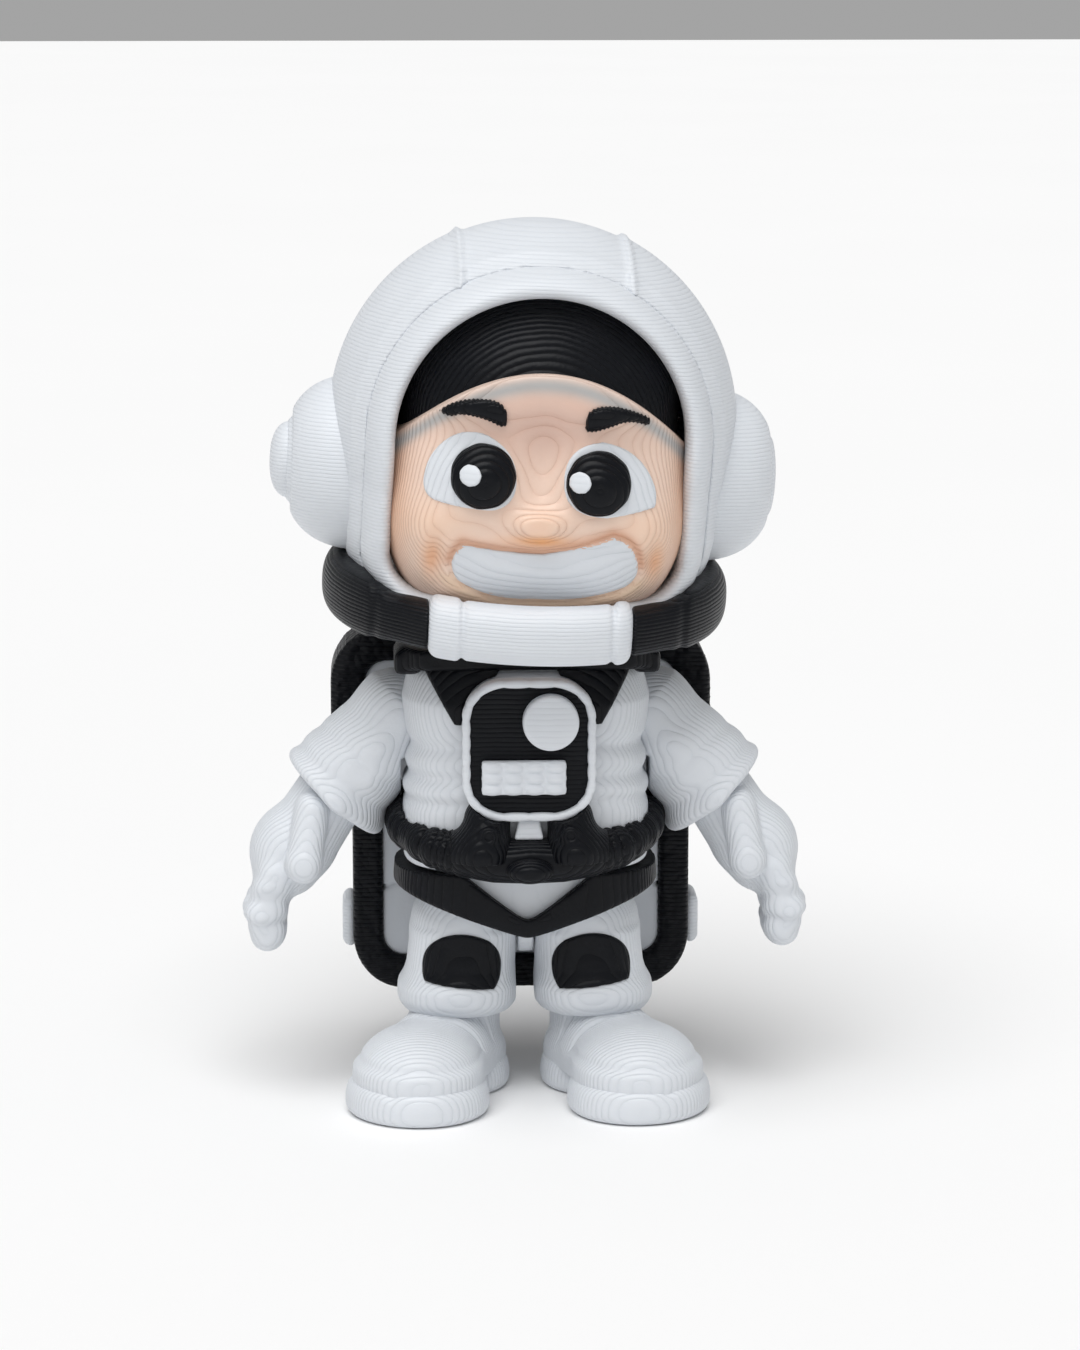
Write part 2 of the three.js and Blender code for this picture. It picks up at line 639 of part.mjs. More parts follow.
const addFace = () => {
  const cavity = helmetForm(HELMET_WALL + GAP).add(visorArch(-GAP));
  const ringRoom = ringTube(CLAMP_TUBE + GAP);
  const inHelmet = (body) => tilted(body.intersect(cavity)).subtract(ringRoom);
  const socketBoss = spun([[0, 36.9], [4.2, 36.9], [5.6, 40], [5.6, 44], [0, 44]], 16);
  const socketMouth = spun([[0, 30], [6.5, 30], [2.2, 37.4], [2.2, NECK.z], [0, NECK.z]], 16);
  const skull = faceForm(0).subtract(hairRegion(-GAP)).add(socketBoss);
  const socket = ball(NECK_BALL_RADIUS + GAP, NECK, [1, 1, 1], 14).add(socketMouth);
  add('head_core', inHelmet(skull).subtract(socket), peach);
  const hairFront = box(-FAR, FAR, -FAR, -2.6, 30, TALL);
  const hair = faceForm(0.2).intersect(hairRegion(0)).intersect(hairFront);
  add('hair_cap', inHelmet(hair), black);

  const layer = faceForm(GAP + INLAY_DEPTH).subtract(faceForm(GAP));
  const inlay = (shape, hole) => {
    const full = layer.intersect(frontInlay(shape));
    return tilted(hole ? full.subtract(frontInlay(hole)) : full);
  };
  EYES.forEach(({ name, white: eye, pupil, glint }) => {
    const eyeShape = disc(EYE_HALF_WIDTH, ...eye, EYE_HALF_HEIGHT / EYE_HALF_WIDTH);
    const pupilRoom = disc(PUPIL_RADIUS + GAP, ...pupil);
    const glintRoom = disc(GLINT_RADIUS + GAP, ...glint);
    add(`${name}_eye_white`, inlay(eyeShape, pupilRoom), white);
    add(`${name}_pupil`, inlay(disc(PUPIL_RADIUS, ...pupil), glintRoom), black);
    add(`${name}_glint`, inlay(disc(GLINT_RADIUS, ...glint)), white);
  });

  SIDES.forEach(({ name, sign }) => {
    const brow = new THREE.Shape();
    brow.moveTo(3.2, 53.2);
    brow.quadraticCurveTo(2.5, 54.6, 4.1, 54.95);
    brow.quadraticCurveTo(6.2, 55.2, 7.3, 53.95);
    brow.quadraticCurveTo(6.4, 54.1, 5.4, 53.95);
    brow.quadraticCurveTo(4.2, 53.5, 3.2, 53.2);
    const points = brow.getPoints(5).map((point) => [point.x * sign, point.y]);
    add(`${name}_brow`, inlay(polygon(sign > 0 ? points.reverse() : points)), black);
  });

  const smile = new THREE.Shape();
  smile.moveTo(-5.5, 44.5);
  smile.quadraticCurveTo(0.4, 43.1, 5.8, 45.4);
  smile.quadraticCurveTo(8.0, 43.6, 6.5, 41.5);
  smile.quadraticCurveTo(5.2, 40.9, 0.4, 40.9);
  smile.quadraticCurveTo(-4.6, 40.9, -5.7, 41.7);
  smile.quadraticCurveTo(-6.9, 43.4, -5.5, 44.5);
  add('teeth', inlay(smile).subtract(ringRoom), white);
};

// ---------- arms ----------
// Arm parts are made hanging down from the shoulder centre, then leaned outwards.
const armPlace = (sign) => new THREE.Matrix4()
  .makeTranslation(SHOULDER.x * sign, SHOULDER.y, SHOULDER.z)
  .multiply(new THREE.Matrix4().makeRotationY(-ARM_LEAN * sign));

const SLOT_REACH = 6;
const sleeveProfile = [
  [0, -SLEEVE_LENGTH],
  [CUFF_RADIUS - 0.5, -SLEEVE_LENGTH],
  [CUFF_RADIUS, -SLEEVE_LENGTH + 0.5],
  [CUFF_RADIUS - 0.3, -SLEEVE_LENGTH + 1.3],
  [4.1, -6.2],
  [3.85, -4.0],
  [3.5, -1.5],
  [3.0, 1.2],
  [0, 1.2],
];
const wristProfile = [
  [0, -12.4],
  [2.4, -12.4],
  [WRIST_RADIUS, -10.6],
  [WRIST_RADIUS, -7.5],
  [1.1, -7.5],
  [1.1, -4.9],
  [0, -4.9],
];
const wristRoomProfile = [
  [0, -FAR],
  [WRIST_RADIUS + GAP, -FAR],
  [WRIST_RADIUS + GAP, -7.2],
  [1.4, -7.2],
  [1.4, -4.6],
  [0, -4.6],
];

const addArms = () => {
  SIDES.forEach(({ name, sign }) => {
    const centre = sided(SHOULDER, sign);
    const studFoot = new THREE.Vector3(5.0 * sign, centre.y, centre.z);
    const studBall = (margin) => ball(STUD_BALL + margin, centre, [1, 1, 1], 12);
    add(`${name}_shoulder_stud`, join(rod(studFoot, centre, STUD_ROD, 10), studBall(0)), black);

    const place = armPlace(sign).elements;
    const tube = spun(sleeveProfile, 20).transform(place);
    const flank = (x, reach) => {
      const inner = new THREE.Vector3(x * sign, centre.y, centre.z);
      return rod(inner, inner.clone().setX(FAR * sign), reach, 32);
    };
    const outside = join(
      flank(TORSO_HALF_WIDTH + GAP + 0.1, 6.0),
      flank(HOSE_SIDE_X + HOSE_TUBE + GAP, FAR),
    );
    const slotHalf = STUD_ROD + GAP;
    const slotEnds = [0, ARM_RAISE].map((turn) => {
      const reachX = SLOT_REACH * Math.cos(turn) * sign;
      const reachZ = SLOT_REACH * Math.sin(turn);
      return new THREE.Vector3(centre.x - reachX, centre.y, centre.z + reachZ);
    });
    const fanPoints = [centre, ...(sign > 0 ? slotEnds.toReversed() : slotEnds)];
    const fanShape = polygon(fanPoints.map((point) => [point.x, point.z]));
    const slotFan = frontPlate(fanShape, centre.y - slotHalf, centre.y + slotHalf);
    const slot = join(slotFan, ...slotEnds.map((end) => rod(centre, end, slotHalf, 12)));
    const wristRoom = spun(wristRoomProfile, 14).transform(place);
    const sleeve = join(ball(SHOULDER_BALL, centre, [1, 1, 1], 20), tube.intersect(outside))
      .subtract(studBall(GAP))
      .subtract(slot)
      .subtract(wristRoom);
    add(`${name}_sleeve`, sleeve, white);

    const spot = (x, y, z) => new THREE.Vector3(x * sign, y, z);
    const wrist = spun(wristProfile, 14).transform(place);
    const palm = ball(1, spot(18.3, 0.1, 18.4), [2.3, 2.9, 3.7], 12);
    const fingers = [-2.0, -0.65, 0.7, 2.0].map((y) => join(
      capsule(spot(19.5, y, 17.2), spot(20.9, y, 13.9), 1.1),
      capsule(spot(20.9, y, 13.9), spot(20.3, y * 0.9, 11.7), 1.0),
    ));
    const thumb = capsule(spot(17.4, -2.2, 20.6), spot(17.0, -3.3, 17.9), 1.2);
    add(`${name}_glove`, join(wrist, palm, thumb, ...fingers), white);
  });
};

// ---------- legs ----------
const legLevels = (sign) => [
  { z: HEM_BOTTOM, halfWidth: 4.2, halfDepth: 4.3, x: 5.3 * sign, y: -0.2 },
  { z: 7.2, halfWidth: 4.6, halfDepth: 4.8, x: 5.3 * sign, y: -0.3 },
  { z: 8.6, halfWidth: 4.6, halfDepth: 4.8, x: 5.25 * sign, y: -0.3 },
  { z: 9.6, halfWidth: 4.2, halfDepth: 4.4, x: 5.0 * sign, y: -0.2 },
  { z: HIP.z, halfWidth: HIP_BALL - 0.05, halfDepth: HIP_BALL - 0.05, x: HIP.x * sign, y: HIP.y },
];
const LEG_SQUARENESS = 2.2;
const PAD = {
  x: 5.1,
  reach: 3.0,
  bottom: 9.0,
  top: 13.3,
  depth: 0.7,
  proud: 0.1,
  back: -1.5,
};
const PEG_TOP = 9.6;

const addLegs = () => {
  SIDES.forEach(({ name, sign }) => {
    const hip = sided(HIP, sign);
    const inside = (LUG_HALF_WIDTH + GAP) * sign;
    const outside = FAR * sign;
    const outer = box(Math.min(inside, outside), Math.max(inside, outside), -FAR, FAR, 0, FAR);
    const ankle = new THREE.Vector3(ANKLE_X * sign, 0, 0);
    const ankleRoom = join(
      rod(ankle, ankle.clone().setZ(ANKLE_TOP + GAP), ANKLE_RADIUS + GAP, 16),
      rod(ankle, ankle.clone().setZ(PEG_TOP + GAP), ANKLE_PEG + GAP, 12),
    );
    const form = (margin) => join(
      column(legLevels(sign), LEG_SQUARENESS, margin, 20),
      ball(HIP_BALL + margin, hip, [1, 1, 1], 18),
    );
    const padShape = (grow) => {
      const left = PAD.x - PAD.reach - grow;
      const right = PAD.x + PAD.reach + grow;
      const shape = new THREE.Shape();
      shape.moveTo(left, PAD.bottom - grow);
      shape.lineTo(right, PAD.bottom + 0.7 - grow);
      shape.lineTo(right, PAD.top - 2);
      shape.quadraticCurveTo(right, PAD.top + grow, PAD.x, PAD.top + grow);
      shape.quadraticCurveTo(left, PAD.top + grow, left, PAD.top - 2);
      const points = shape.getPoints(5).map((point) => [point.x * sign, point.y]);
      return frontPlate(polygon(sign > 0 ? points : points.reverse()), -20, PAD.back + grow);
    };
    const padSeat = padShape(GAP).subtract(form(-PAD.depth - GAP));
    const leg = form(0)
      .intersect(outer)
      .subtract(acrossHips(AXLE_RADIUS + GAP, HIP.x + GAP))
      .subtract(ankleRoom)
      .subtract(padSeat);
    add(`${name}_trouser_leg`, leg, white);

    const pad = form(PAD.proud).subtract(form(-PAD.depth)).intersect(padShape(0));
    add(`${name}_knee_pad`, pad, black);

    addBoot(name, sign, ankle);
  });
};

const addBoot = (name, sign, ankle) => {
  const place = new THREE.Matrix4()
    .makeTranslation(ankle.x, 0, 0)
    .multiply(new THREE.Matrix4().makeRotationZ(TOE_OUT * sign)).elements;
  const outline = new THREE.Shape();
  outline.moveTo(0, 4.2);
  outline.bezierCurveTo(-3.4, 4.2, -4.4, 2.4, -4.2, 0);
  outline.bezierCurveTo(-4.0, -2.6, -5.2, -4.0, -5.3, -7.0);
  outline.bezierCurveTo(-5.4, -10.6, -3.4, -12.6, 0, -12.6);
  outline.bezierCurveTo(3.4, -12.6, 5.4, -10.6, 5.3, -7.0);
  outline.bezierCurveTo(5.2, -4.0, 4.0, -2.6, 4.2, 0);
  outline.bezierCurveTo(4.4, 2.4, 3.4, 4.2, 0, 4.2);
  const bevel = 0.5;
  const soleGeometry = new THREE.ExtrudeGeometry(outline, {
    depth: SOLE_TOP - 2 * bevel,
    bevelEnabled: true,
    bevelThickness: bevel,
    bevelSize: bevel,
    bevelOffset: -bevel,
    bevelSegments: 2,
    curveSegments: 5,
  });
  add(`${name}_sole`, at(soleGeometry, 0, 0, bevel).transform(place), white);

  const floor = SOLE_TOP + GAP;
  const centre = (y, z) => new THREE.Vector3(0, y, z);
  const above = box(-FAR, FAR, -FAR, FAR, floor, FAR);
  const toe = ball(1, centre(-6.9, floor), [4.9, 5.3, 4.1], 20);
  const instep = ball(1, centre(-2.6, floor), [4.2, 5.0, 3.6], 16);
  const heel = ball(1, centre(0.2, floor), [3.9, 3.8, 4.0], 16);
  const shaft = rod(centre(0, floor), centre(0, ANKLE_TOP), ANKLE_RADIUS, 16);
  const peg = rod(centre(0, floor), centre(0, PEG_TOP), ANKLE_PEG, 12);
  const boot = join(toe, instep, heel, shaft, peg).intersect(above);
  add(`${name}_boot`, boot.transform(place), white);
};

addTorso();
addStraps();
addPanel();
addWaist();
addPelvis();
addBackpack();
addNeckAndRing();
addHelmet();
addFace();
addArms();
addLegs();

const bounds = new THREE.Box3().setFromObject(figure);
const middle = bounds.getCenter(new THREE.Vector3());
figure.position.set(-middle.x, -middle.y, -bounds.min.z);

export default figure;
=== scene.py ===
"""Looks of the jointed toy astronaut: a 3-D printed figure in white, black and skin-coloured plastic.
Shapes are distance fields in millimetres, laid over the CAD frame and meshed with OpenVDB."""
import json
import math

import bpy
import numpy as np
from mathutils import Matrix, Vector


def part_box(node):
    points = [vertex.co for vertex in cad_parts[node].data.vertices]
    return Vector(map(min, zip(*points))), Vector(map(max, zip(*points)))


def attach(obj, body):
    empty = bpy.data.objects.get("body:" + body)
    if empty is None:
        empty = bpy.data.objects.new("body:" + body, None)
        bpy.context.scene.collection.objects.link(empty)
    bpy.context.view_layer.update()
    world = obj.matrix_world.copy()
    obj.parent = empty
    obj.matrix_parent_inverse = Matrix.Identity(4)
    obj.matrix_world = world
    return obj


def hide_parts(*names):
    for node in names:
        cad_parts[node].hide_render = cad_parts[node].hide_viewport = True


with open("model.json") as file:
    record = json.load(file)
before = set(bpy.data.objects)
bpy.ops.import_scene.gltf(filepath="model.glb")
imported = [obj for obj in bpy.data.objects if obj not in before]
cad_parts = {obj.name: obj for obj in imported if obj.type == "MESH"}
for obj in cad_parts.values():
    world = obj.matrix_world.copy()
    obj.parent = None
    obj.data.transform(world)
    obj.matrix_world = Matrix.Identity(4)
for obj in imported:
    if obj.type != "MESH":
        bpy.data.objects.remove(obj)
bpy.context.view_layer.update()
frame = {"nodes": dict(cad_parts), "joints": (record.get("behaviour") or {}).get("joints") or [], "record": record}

import openvdb
from mathutils import Euler, Matrix, Vector

MM = 0.001
record = frame["record"]
BODY_OF = {node: body for body, nodes in record["behaviour"]["bodies"].items() for node in nodes}
JOINTS = {joint["name"]: np.array(joint["pos_m"]) / MM for joint in frame["joints"]}
MIDDLE_Y = JOINTS["neck_turn"][1]
SIDES = (("left", 1), ("right", -1))


def spot(joint):
    """A joint's place in mm, with y measured from the figure's middle plane."""
    return JOINTS[joint] - np.array([0, MIDDLE_Y, 0])


def span(node):
    """Lowest and highest corner of a CAD node in mm, with y from the middle plane."""
    low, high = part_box(node)
    shift = np.array([0, MIDDLE_Y, 0])
    return np.array(low) / MM - shift, np.array(high) / MM - shift


# ---------- distance fields ----------
def smooth_union(a, b, soft):
    blend = np.clip(0.5 + 0.5 * (b - a) / soft, 0, 1)
    return b * (1 - blend) + a * blend - soft * blend * (1 - blend)


def smooth_cut(a, b, soft):
    """a with b taken out, over a soft edge."""
    return -smooth_union(-a, b, soft)


def smooth_both(a, b, soft):
    return -smooth_union(-a, -b, soft)


def many(fields, soft):
    result = fields[0]
    for field in fields[1:]:
        result = smooth_union(result, field, soft)
    return result


def ellipsoid(p, centre, radii):
    u = [p[i] - centre[i] for i in range(3)]
    near = np.sqrt(sum((u[i] / radii[i]) ** 2 for i in range(3)))
    steep = np.sqrt(sum((u[i] / radii[i] ** 2) ** 2 for i in range(3)))
    return near * (near - 1) / np.maximum(steep, 1e-6)


def ball(p, centre, radius):
    return np.sqrt(sum((p[i] - centre[i]) ** 2 for i in range(3))) - radius


def along(p, start, end):
    """Share of the way along a line, and the distance from it."""
    step = np.array(end, float) - np.array(start, float)
    share = sum((p[i] - start[i]) * step[i] for i in range(3)) / float(step @ step)
    share = np.clip(share, 0, 1)
    gap = np.sqrt(sum((p[i] - start[i] - share * step[i]) ** 2 for i in range(3)))
    return share, gap


def capsule(p, start, end, radius, radius_end=None):
    share, gap = along(p, start, end)
    tip = radius if radius_end is None else radius_end
    return gap - (radius + (tip - radius) * share)


def box(p, centre, half, round_edge):
    q = [np.abs(p[i] - centre[i]) - (half[i] - round_edge) for i in range(3)]
    outside = np.sqrt(sum(np.maximum(v, 0) ** 2 for v in q))
    inside = np.minimum(np.maximum(np.maximum(q[0], q[1]), q[2]), 0)
    return outside + inside - round_edge


def square_corner(a, b):
    """Distance from the corner where two half planes, each below zero inside, meet."""
    return np.sqrt(np.maximum(a, 0) ** 2 + np.maximum(b, 0) ** 2) + np.minimum(np.maximum(a, b), 0)


def flat_box(u, v, half_u, half_v, corner):
    return square_corner(np.abs(u) - (half_u - corner), np.abs(v) - (half_v - corner)) - corner


def slab(flat, v, v0, v1, round_edge):
    """A flat outline made thick between v0 and v1, with rounded edges."""
    thick = np.abs(v - (v0 + v1) / 2) - (v1 - v0) / 2
    return square_corner(flat + round_edge, thick + round_edge) - round_edge


def polygon(u, v, corners):
    """Signed distance to a flat polygon."""
    best = None
    inside = None
    count = len(corners)
    for i in range(count):
        (x0, y0), (x1, y1) = corners[i], corners[(i + 1) % count]
        ex, ey = x1 - x0, y1 - y0
        wx, wy = u - x0, v - y0
        share = np.clip((wx * ex + wy * ey) / (ex * ex + ey * ey + 1e-9), 0, 1)
        gap = (wx - ex * share) ** 2 + (wy - ey * share) ** 2
        crosses = (y0 > v) != (y1 > v)
        side = u < ex * (v - y0) / (ey if abs(ey) > 1e-9 else 1e-9) + x0
        flip = np.logical_and(crosses, side)
        best = gap if best is None else np.minimum(best, gap)
        inside = flip if inside is None else np.logical_xor(inside, flip)
    return np.sqrt(best) * np.where(inside, -1.0, 1.0)


def curve_points(start, *bends, steps=8):
    """Points along joined quadratic curves; each bend is (control, end)."""
    points = [start]
    here = start
    for control, end in bends:
        for i in range(1, steps + 1):
            t = i / steps
            points.append(tuple(
                (1 - t) ** 2 * here[k] + 2 * t * (1 - t) * control[k] + t * t * end[k] for k in range(2)))
        here = end
    return points


def bump(u, v, centre, radii):
    return np.exp(-(((u - centre[0]) / radii[0]) ** 2 + ((v - centre[1]) / radii[1]) ** 2))


def bump3(p, centre, radii):
    return np.exp(-sum(((p[i] - centre[i]) / radii[i]) ** 2 for i in range(3)))


def ramp(value, low, high):
    t = np.clip((value - low) / (high - low), 0, 1)
    return t * t * (3 - 2 * t)


# ---------- materials ----------
def node(tree, kind, place, **inputs):
    made = tree.nodes.new(kind)
    made.location = place
    for name, value in inputs.items():
        made.inputs[name.replace("_", " ")].default_value = value
    return made


def math_node(tree, operation, first, second=None):
    made = tree.nodes.new("ShaderNodeMath")
    made.operation = operation
    for index, value in ((0, first), (1, second)):
        if value is None:
            continue
        if isinstance(value, (int, float)):
            made.inputs[index].default_value = value
        else:
            tree.links.new(value, made.inputs[index])
    return made.outputs[0]


LAYER_DRIFT = 0.48
BEAD_ROUNDNESS = 0.55
DRIFT_SCALE, GRAIN_SCALE, UNEVEN_SCALE, KNOT_SCALE = 420.0, 3200.0, 260.0, 1500.0
GRAIN_HEIGHT, UNEVEN_HEIGHT, GLOSS_SPREAD = 0.35, 0.6, 0.14
GLOW_REACH = 1.2 * MM


def printed_plastic(name, colour, shade, roughness, axis, pitch, depth, groove_shade=0.1, tone=False,
                    stipple=0.0, glow=0.0, specular=0.5):
    """Plastic laid down in layers: rounded beads across one axis of the piece, with slight unevenness and painted
    shade darkening the grooves between the beads.
    """
    material = bpy.data.materials.new(name)
    material.use_nodes = True
    tree = material.node_tree
    shader = tree.nodes["Principled BSDF"]
    shader.inputs["Specular IOR Level"].default_value = specular
    if glow:
        shader.inputs["Subsurface Weight"].default_value = glow
        shader.inputs["Subsurface Scale"].default_value = GLOW_REACH
        shader.inputs["Subsurface Radius"].default_value = (1.0, 0.95, 0.9)
    place = tree.nodes.new("ShaderNodeTexCoord").outputs["Object"]

    split = tree.nodes.new("ShaderNodeSeparateXYZ")
    tree.links.new(place, split.inputs[0])
    drift = node(tree, "ShaderNodeTexNoise", (-900, 0), Scale=DRIFT_SCALE, Detail=1.0)
    tree.links.new(place, drift.inputs["Vector"])
    shift = math_node(tree, "MULTIPLY", math_node(tree, "SUBTRACT", drift.outputs["Fac"], 0.5), LAYER_DRIFT)
    layers = math_node(tree, "ADD", math_node(tree, "DIVIDE", split.outputs[axis], pitch * MM), shift)
    bead = math_node(tree, "ABSOLUTE", math_node(tree, "SINE", math_node(tree, "MULTIPLY", layers, math.pi)))
    bead = math_node(tree, "POWER", bead, BEAD_ROUNDNESS)

    grain = node(tree, "ShaderNodeTexNoise", (-900, -300), Scale=GRAIN_SCALE, Detail=3.0)
    tree.links.new(place, grain.inputs["Vector"])
    uneven = node(tree, "ShaderNodeTexNoise", (-900, -600), Scale=UNEVEN_SCALE, Detail=2.0)
    tree.links.new(place, uneven.inputs["Vector"])
    height = math_node(tree, "ADD", bead, math_node(tree, "MULTIPLY", grain.outputs["Fac"], GRAIN_HEIGHT))
    swell = math_node(tree, "MULTIPLY", uneven.outputs["Fac"], UNEVEN_HEIGHT)
    height = math_node(tree, "ADD", height, swell)
    if stipple:
        knots = node(tree, "ShaderNodeTexVoronoi", (-900, -900), Scale=KNOT_SCALE)
        tree.links.new(place, knots.inputs["Vector"])
        lift = math_node(tree, "SUBTRACT", 1.0, knots.outputs["Distance"])
        height = math_node(tree, "ADD", height, math_node(tree, "MULTIPLY", lift, stipple))
    relief = node(tree, "ShaderNodeBump", (-200, -300), Strength=1.0, Distance=depth * MM)
    tree.links.new(height, relief.inputs["Height"])
    tree.links.new(relief.outputs["Normal"], shader.inputs["Normal"])

    patch = tree.nodes.new("ShaderNodeMix")
    patch.data_type = "RGBA"
    tree.links.new(uneven.outputs["Fac"], patch.inputs["Factor"])
    patch.inputs["A"].default_value = (*shade, 1)
    if tone:
        painted = tree.nodes.new("ShaderNodeAttribute")
        painted.attribute_name = "tone"
        tree.links.new(painted.outputs["Color"], patch.inputs["B"])
        tree.links.new(painted.outputs["Color"], patch.inputs["A"])
    else:
        patch.inputs["B"].default_value = (*colour, 1)
    # painted shade: the base colour is multiplied darker in the grooves between the layer beads
    seam = tree.nodes.new("ShaderNodeMix")
    seam.data_type = "RGBA"
    seam.blend_type = "MULTIPLY"
    hollow = math_node(tree, "MULTIPLY", math_node(tree, "SUBTRACT", 1.0, bead), groove_shade * 2)
    tree.links.new(hollow, seam.inputs["Factor"])
    tree.links.new(patch.outputs["Result"], seam.inputs["A"])
    seam.inputs["B"].default_value = (*[0.25 + 0.75 * c for c in colour], 1)
    tree.links.new(seam.outputs["Result"], shader.inputs["Base Color"])
    spread = math_node(tree, "MULTIPLY", grain.outputs["Fac"], GLOSS_SPREAD)
    gloss = math_node(tree, "ADD", spread, roughness - GLOSS_SPREAD / 2)
    tree.links.new(gloss, shader.inputs["Roughness"])
    return material


WHITE = (0.77, 0.80, 0.84)
WHITE_SHADE = (0.72, 0.75, 0.79)
BLACK = (0.0035, 0.0042, 0.006)
BLACK_SHADE = (0.0055, 0.0064, 0.009)
PEACH = (0.90, 0.68, 0.56)
PEACH_SHADE = (0.87, 0.64, 0.52)
X, Y, Z = 0, 1, 2


def white_plastic(name, axis, pitch, depth, groove_shade):
    return printed_plastic(
        name, WHITE, WHITE_SHADE, 0.5, axis, pitch, depth, groove_shade=groove_shade, glow=0.1)


def black_plastic(name, axis, pitch, depth, stipple=0.0):
    return printed_plastic(
        name, BLACK, BLACK_SHADE, 0.38, axis, pitch, depth, stipple=stipple, specular=0.16)


LAYER = 0.28
WHITE_RASTER, BLACK_RASTER = 0.45, 0.36
LOOKS = {
    "white_level": white_plastic("white_level_layers", Z, LAYER, depth=0.035, groove_shade=0.12),
    "white_front": white_plastic("white_front_layers", Y, LAYER, depth=0.055, groove_shade=0.12),
    "white_smooth": white_plastic("white_raster", Z, WHITE_RASTER, depth=0.018, groove_shade=0.08),
    "black_level": black_plastic("black_level_layers", Z, LAYER, depth=0.08),
    "black_front": black_plastic("black_front_layers", Y, LAYER, depth=0.09),
    "black_raster": black_plastic("black_raster", Z, BLACK_RASTER, depth=0.05),
    "black_stipple": black_plastic("black_stipple", Z, BLACK_RASTER, depth=0.07, stipple=2.2),
    "skin": printed_plastic(
        "skin_layers", PEACH, PEACH_SHADE, 0.46, Y, LAYER, depth=0.07, groove_shade=0.14, tone=True, glow=0.12),
}


# ---------- meshing ----------
def piece(node_name, form, look, margin, step, tilt=None, tone=None):
    """Meshes a field round its CAD node, lays it over that node and lets it ride on the node's body."""
    low, high = span(node_name)
    low, high = low - margin, high + margin
    if tilt is not None:
        corners = [tilt.inverted() @ Vector((a, b, c)) for a in (low[0], high[0])
                   for b in (low[1], high[1]) for c in (low[2], high[2])]
        low, high = np.min(corners, axis=0), np.max(corners, axis=0)
    count = np.ceil((high - low) / step).astype(int) + 1
    axes = [(low[i] + step * np.arange(count[i])).astype(np.float32) for i in range(3)]
    p = (axes[0][:, None, None], axes[1][None, :, None], axes[2][None, None, :])
    band = 3 * step
    values = np.broadcast_to(form(p), tuple(count))
    grid = openvdb.FloatGrid(band)
    grid.copyFromArray(np.ascontiguousarray(np.clip(values, -band, band), dtype=np.float32))
    grid.transform = openvdb.createLinearTransform(voxelSize=step)
    points, triangles, quads = grid.convertToPolygons(isovalue=0.0, adaptivity=0.0)
    points = points.astype(float) + low
    faces = [tuple(int(i) for i in quad) for quad in quads] + [tuple(int(i) for i in t) for t in triangles]
    if not faces:
        raise SystemExit(f"{node_name}: the field has no surface")
    mesh = bpy.data.meshes.new("printed_" + node_name)
    place = points + np.array([0, MIDDLE_Y if tilt is None else 0, 0])
    mesh.from_pydata((place * MM).tolist(), [], faces)
    mesh.shade_smooth()
    if tone is not None:
        paint = mesh.attributes.new("tone", "FLOAT_COLOR", "POINT")
        shades = tone(points[:, 0], points[:, 1], points[:, 2])
        colours = np.column_stack([shades, np.ones(len(points))]).astype(np.float32)
        paint.data.foreach_set("color", colours.ravel())
    thing = bpy.data.objects.new("printed_" + node_name, mesh)
    bpy.context.scene.collection.objects.link(thing)
    if tilt is not None:
        up = Matrix.Translation((0, MIDDLE_Y * MM, 0)) @ Matrix.Scale(MM, 4) @ tilt @ Matrix.Scale(1 / MM, 4)
        thing.matrix_world = up
    finish(thing, node_name, look)
    return thing


def finish(thing, node_name, look):
    thing.data.materials.append(LOOKS[look])
    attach(thing, BODY_OF[node_name])
    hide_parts(node_name)


# ---------- torso ----------
torso_low, torso_high = span("torso_shell")
TORSO_HALF = (torso_high[0] - torso_low[0]) / 2
TORSO_Y = (torso_high[1] + torso_low[1]) / 2
TORSO_DEEP = (torso_high[1] - torso_low[1]) / 2
TORSO_TOP, TORSO_BOTTOM = torso_high[2], torso_low[2]
FOLD_LEVELS = ((28.6, 0.24, 0.55), (26.2, 0.22, 0.5), (24.3, 0.16, 0.45))


def torso_form(p, grow=0.0, folds=True):
    x, y, z = p
    levels = [TORSO_BOTTOM - 2, 21.0, 24.0, 27.5, 31.5, TORSO_TOP]
    wide = np.interp(z, levels, [9.2, 9.5, 9.35, 9.05, 9.4, 8.7]) / 9.4 * TORSO_HALF
    deep = np.interp(z, levels, [6.0, 6.3, 6.45, 6.3, 6.3, 5.6]) / 6.4 * TORSO_DEEP
    power = 3.0
    ring = (np.abs(x / wide) ** power + np.abs((y - TORSO_Y) / deep) ** power) ** (1 / power)
    side = (ring - 1) * 7.0
    if folds:
        sag = 0.10 * np.abs(x) - 0.35 * np.sin(x * 0.33 + 0.6)
        for level, depth, height in FOLD_LEVELS:
            side = side + depth * np.exp(-((z + sag * 0.5 - level) / height) ** 2)
        for level in (27.4, 25.2):
            side = side - 0.1 * np.exp(-((z + sag * 0.5 - level) / 0.8) ** 2)
        chest = bump(np.abs(x), z, (6.4, 31.0), (2.2, 2.0))
        side = side - 0.35 * chest * (y < TORSO_Y)
    top = z - TORSO_TOP
    bottom = TORSO_BOTTOM - z
    return smooth_both(smooth_both(side, top, 1.0), bottom, 0.6) - grow


panel_low, panel_high = span("panel_rim")
PANEL_Z = (panel_low[2] + panel_high[2]) / 2
PANEL_HALF = ((panel_high[0] - panel_low[0]) / 2, (panel_high[2] - panel_low[2]) / 2)
PANEL_CORNER = 3.1
PANEL_FRONT = panel_low[1]


def panel_outline(p, inset=0.0):
    x, _, z = p
    return flat_box(x, z - PANEL_Z, PANEL_HALF[0], PANEL_HALF[1], PANEL_CORNER) + inset


def torso_shell(p):
    return np.maximum(torso_form(p), -slab(panel_outline(p, 0.25), p[1], -12, -7.6, 0.1))


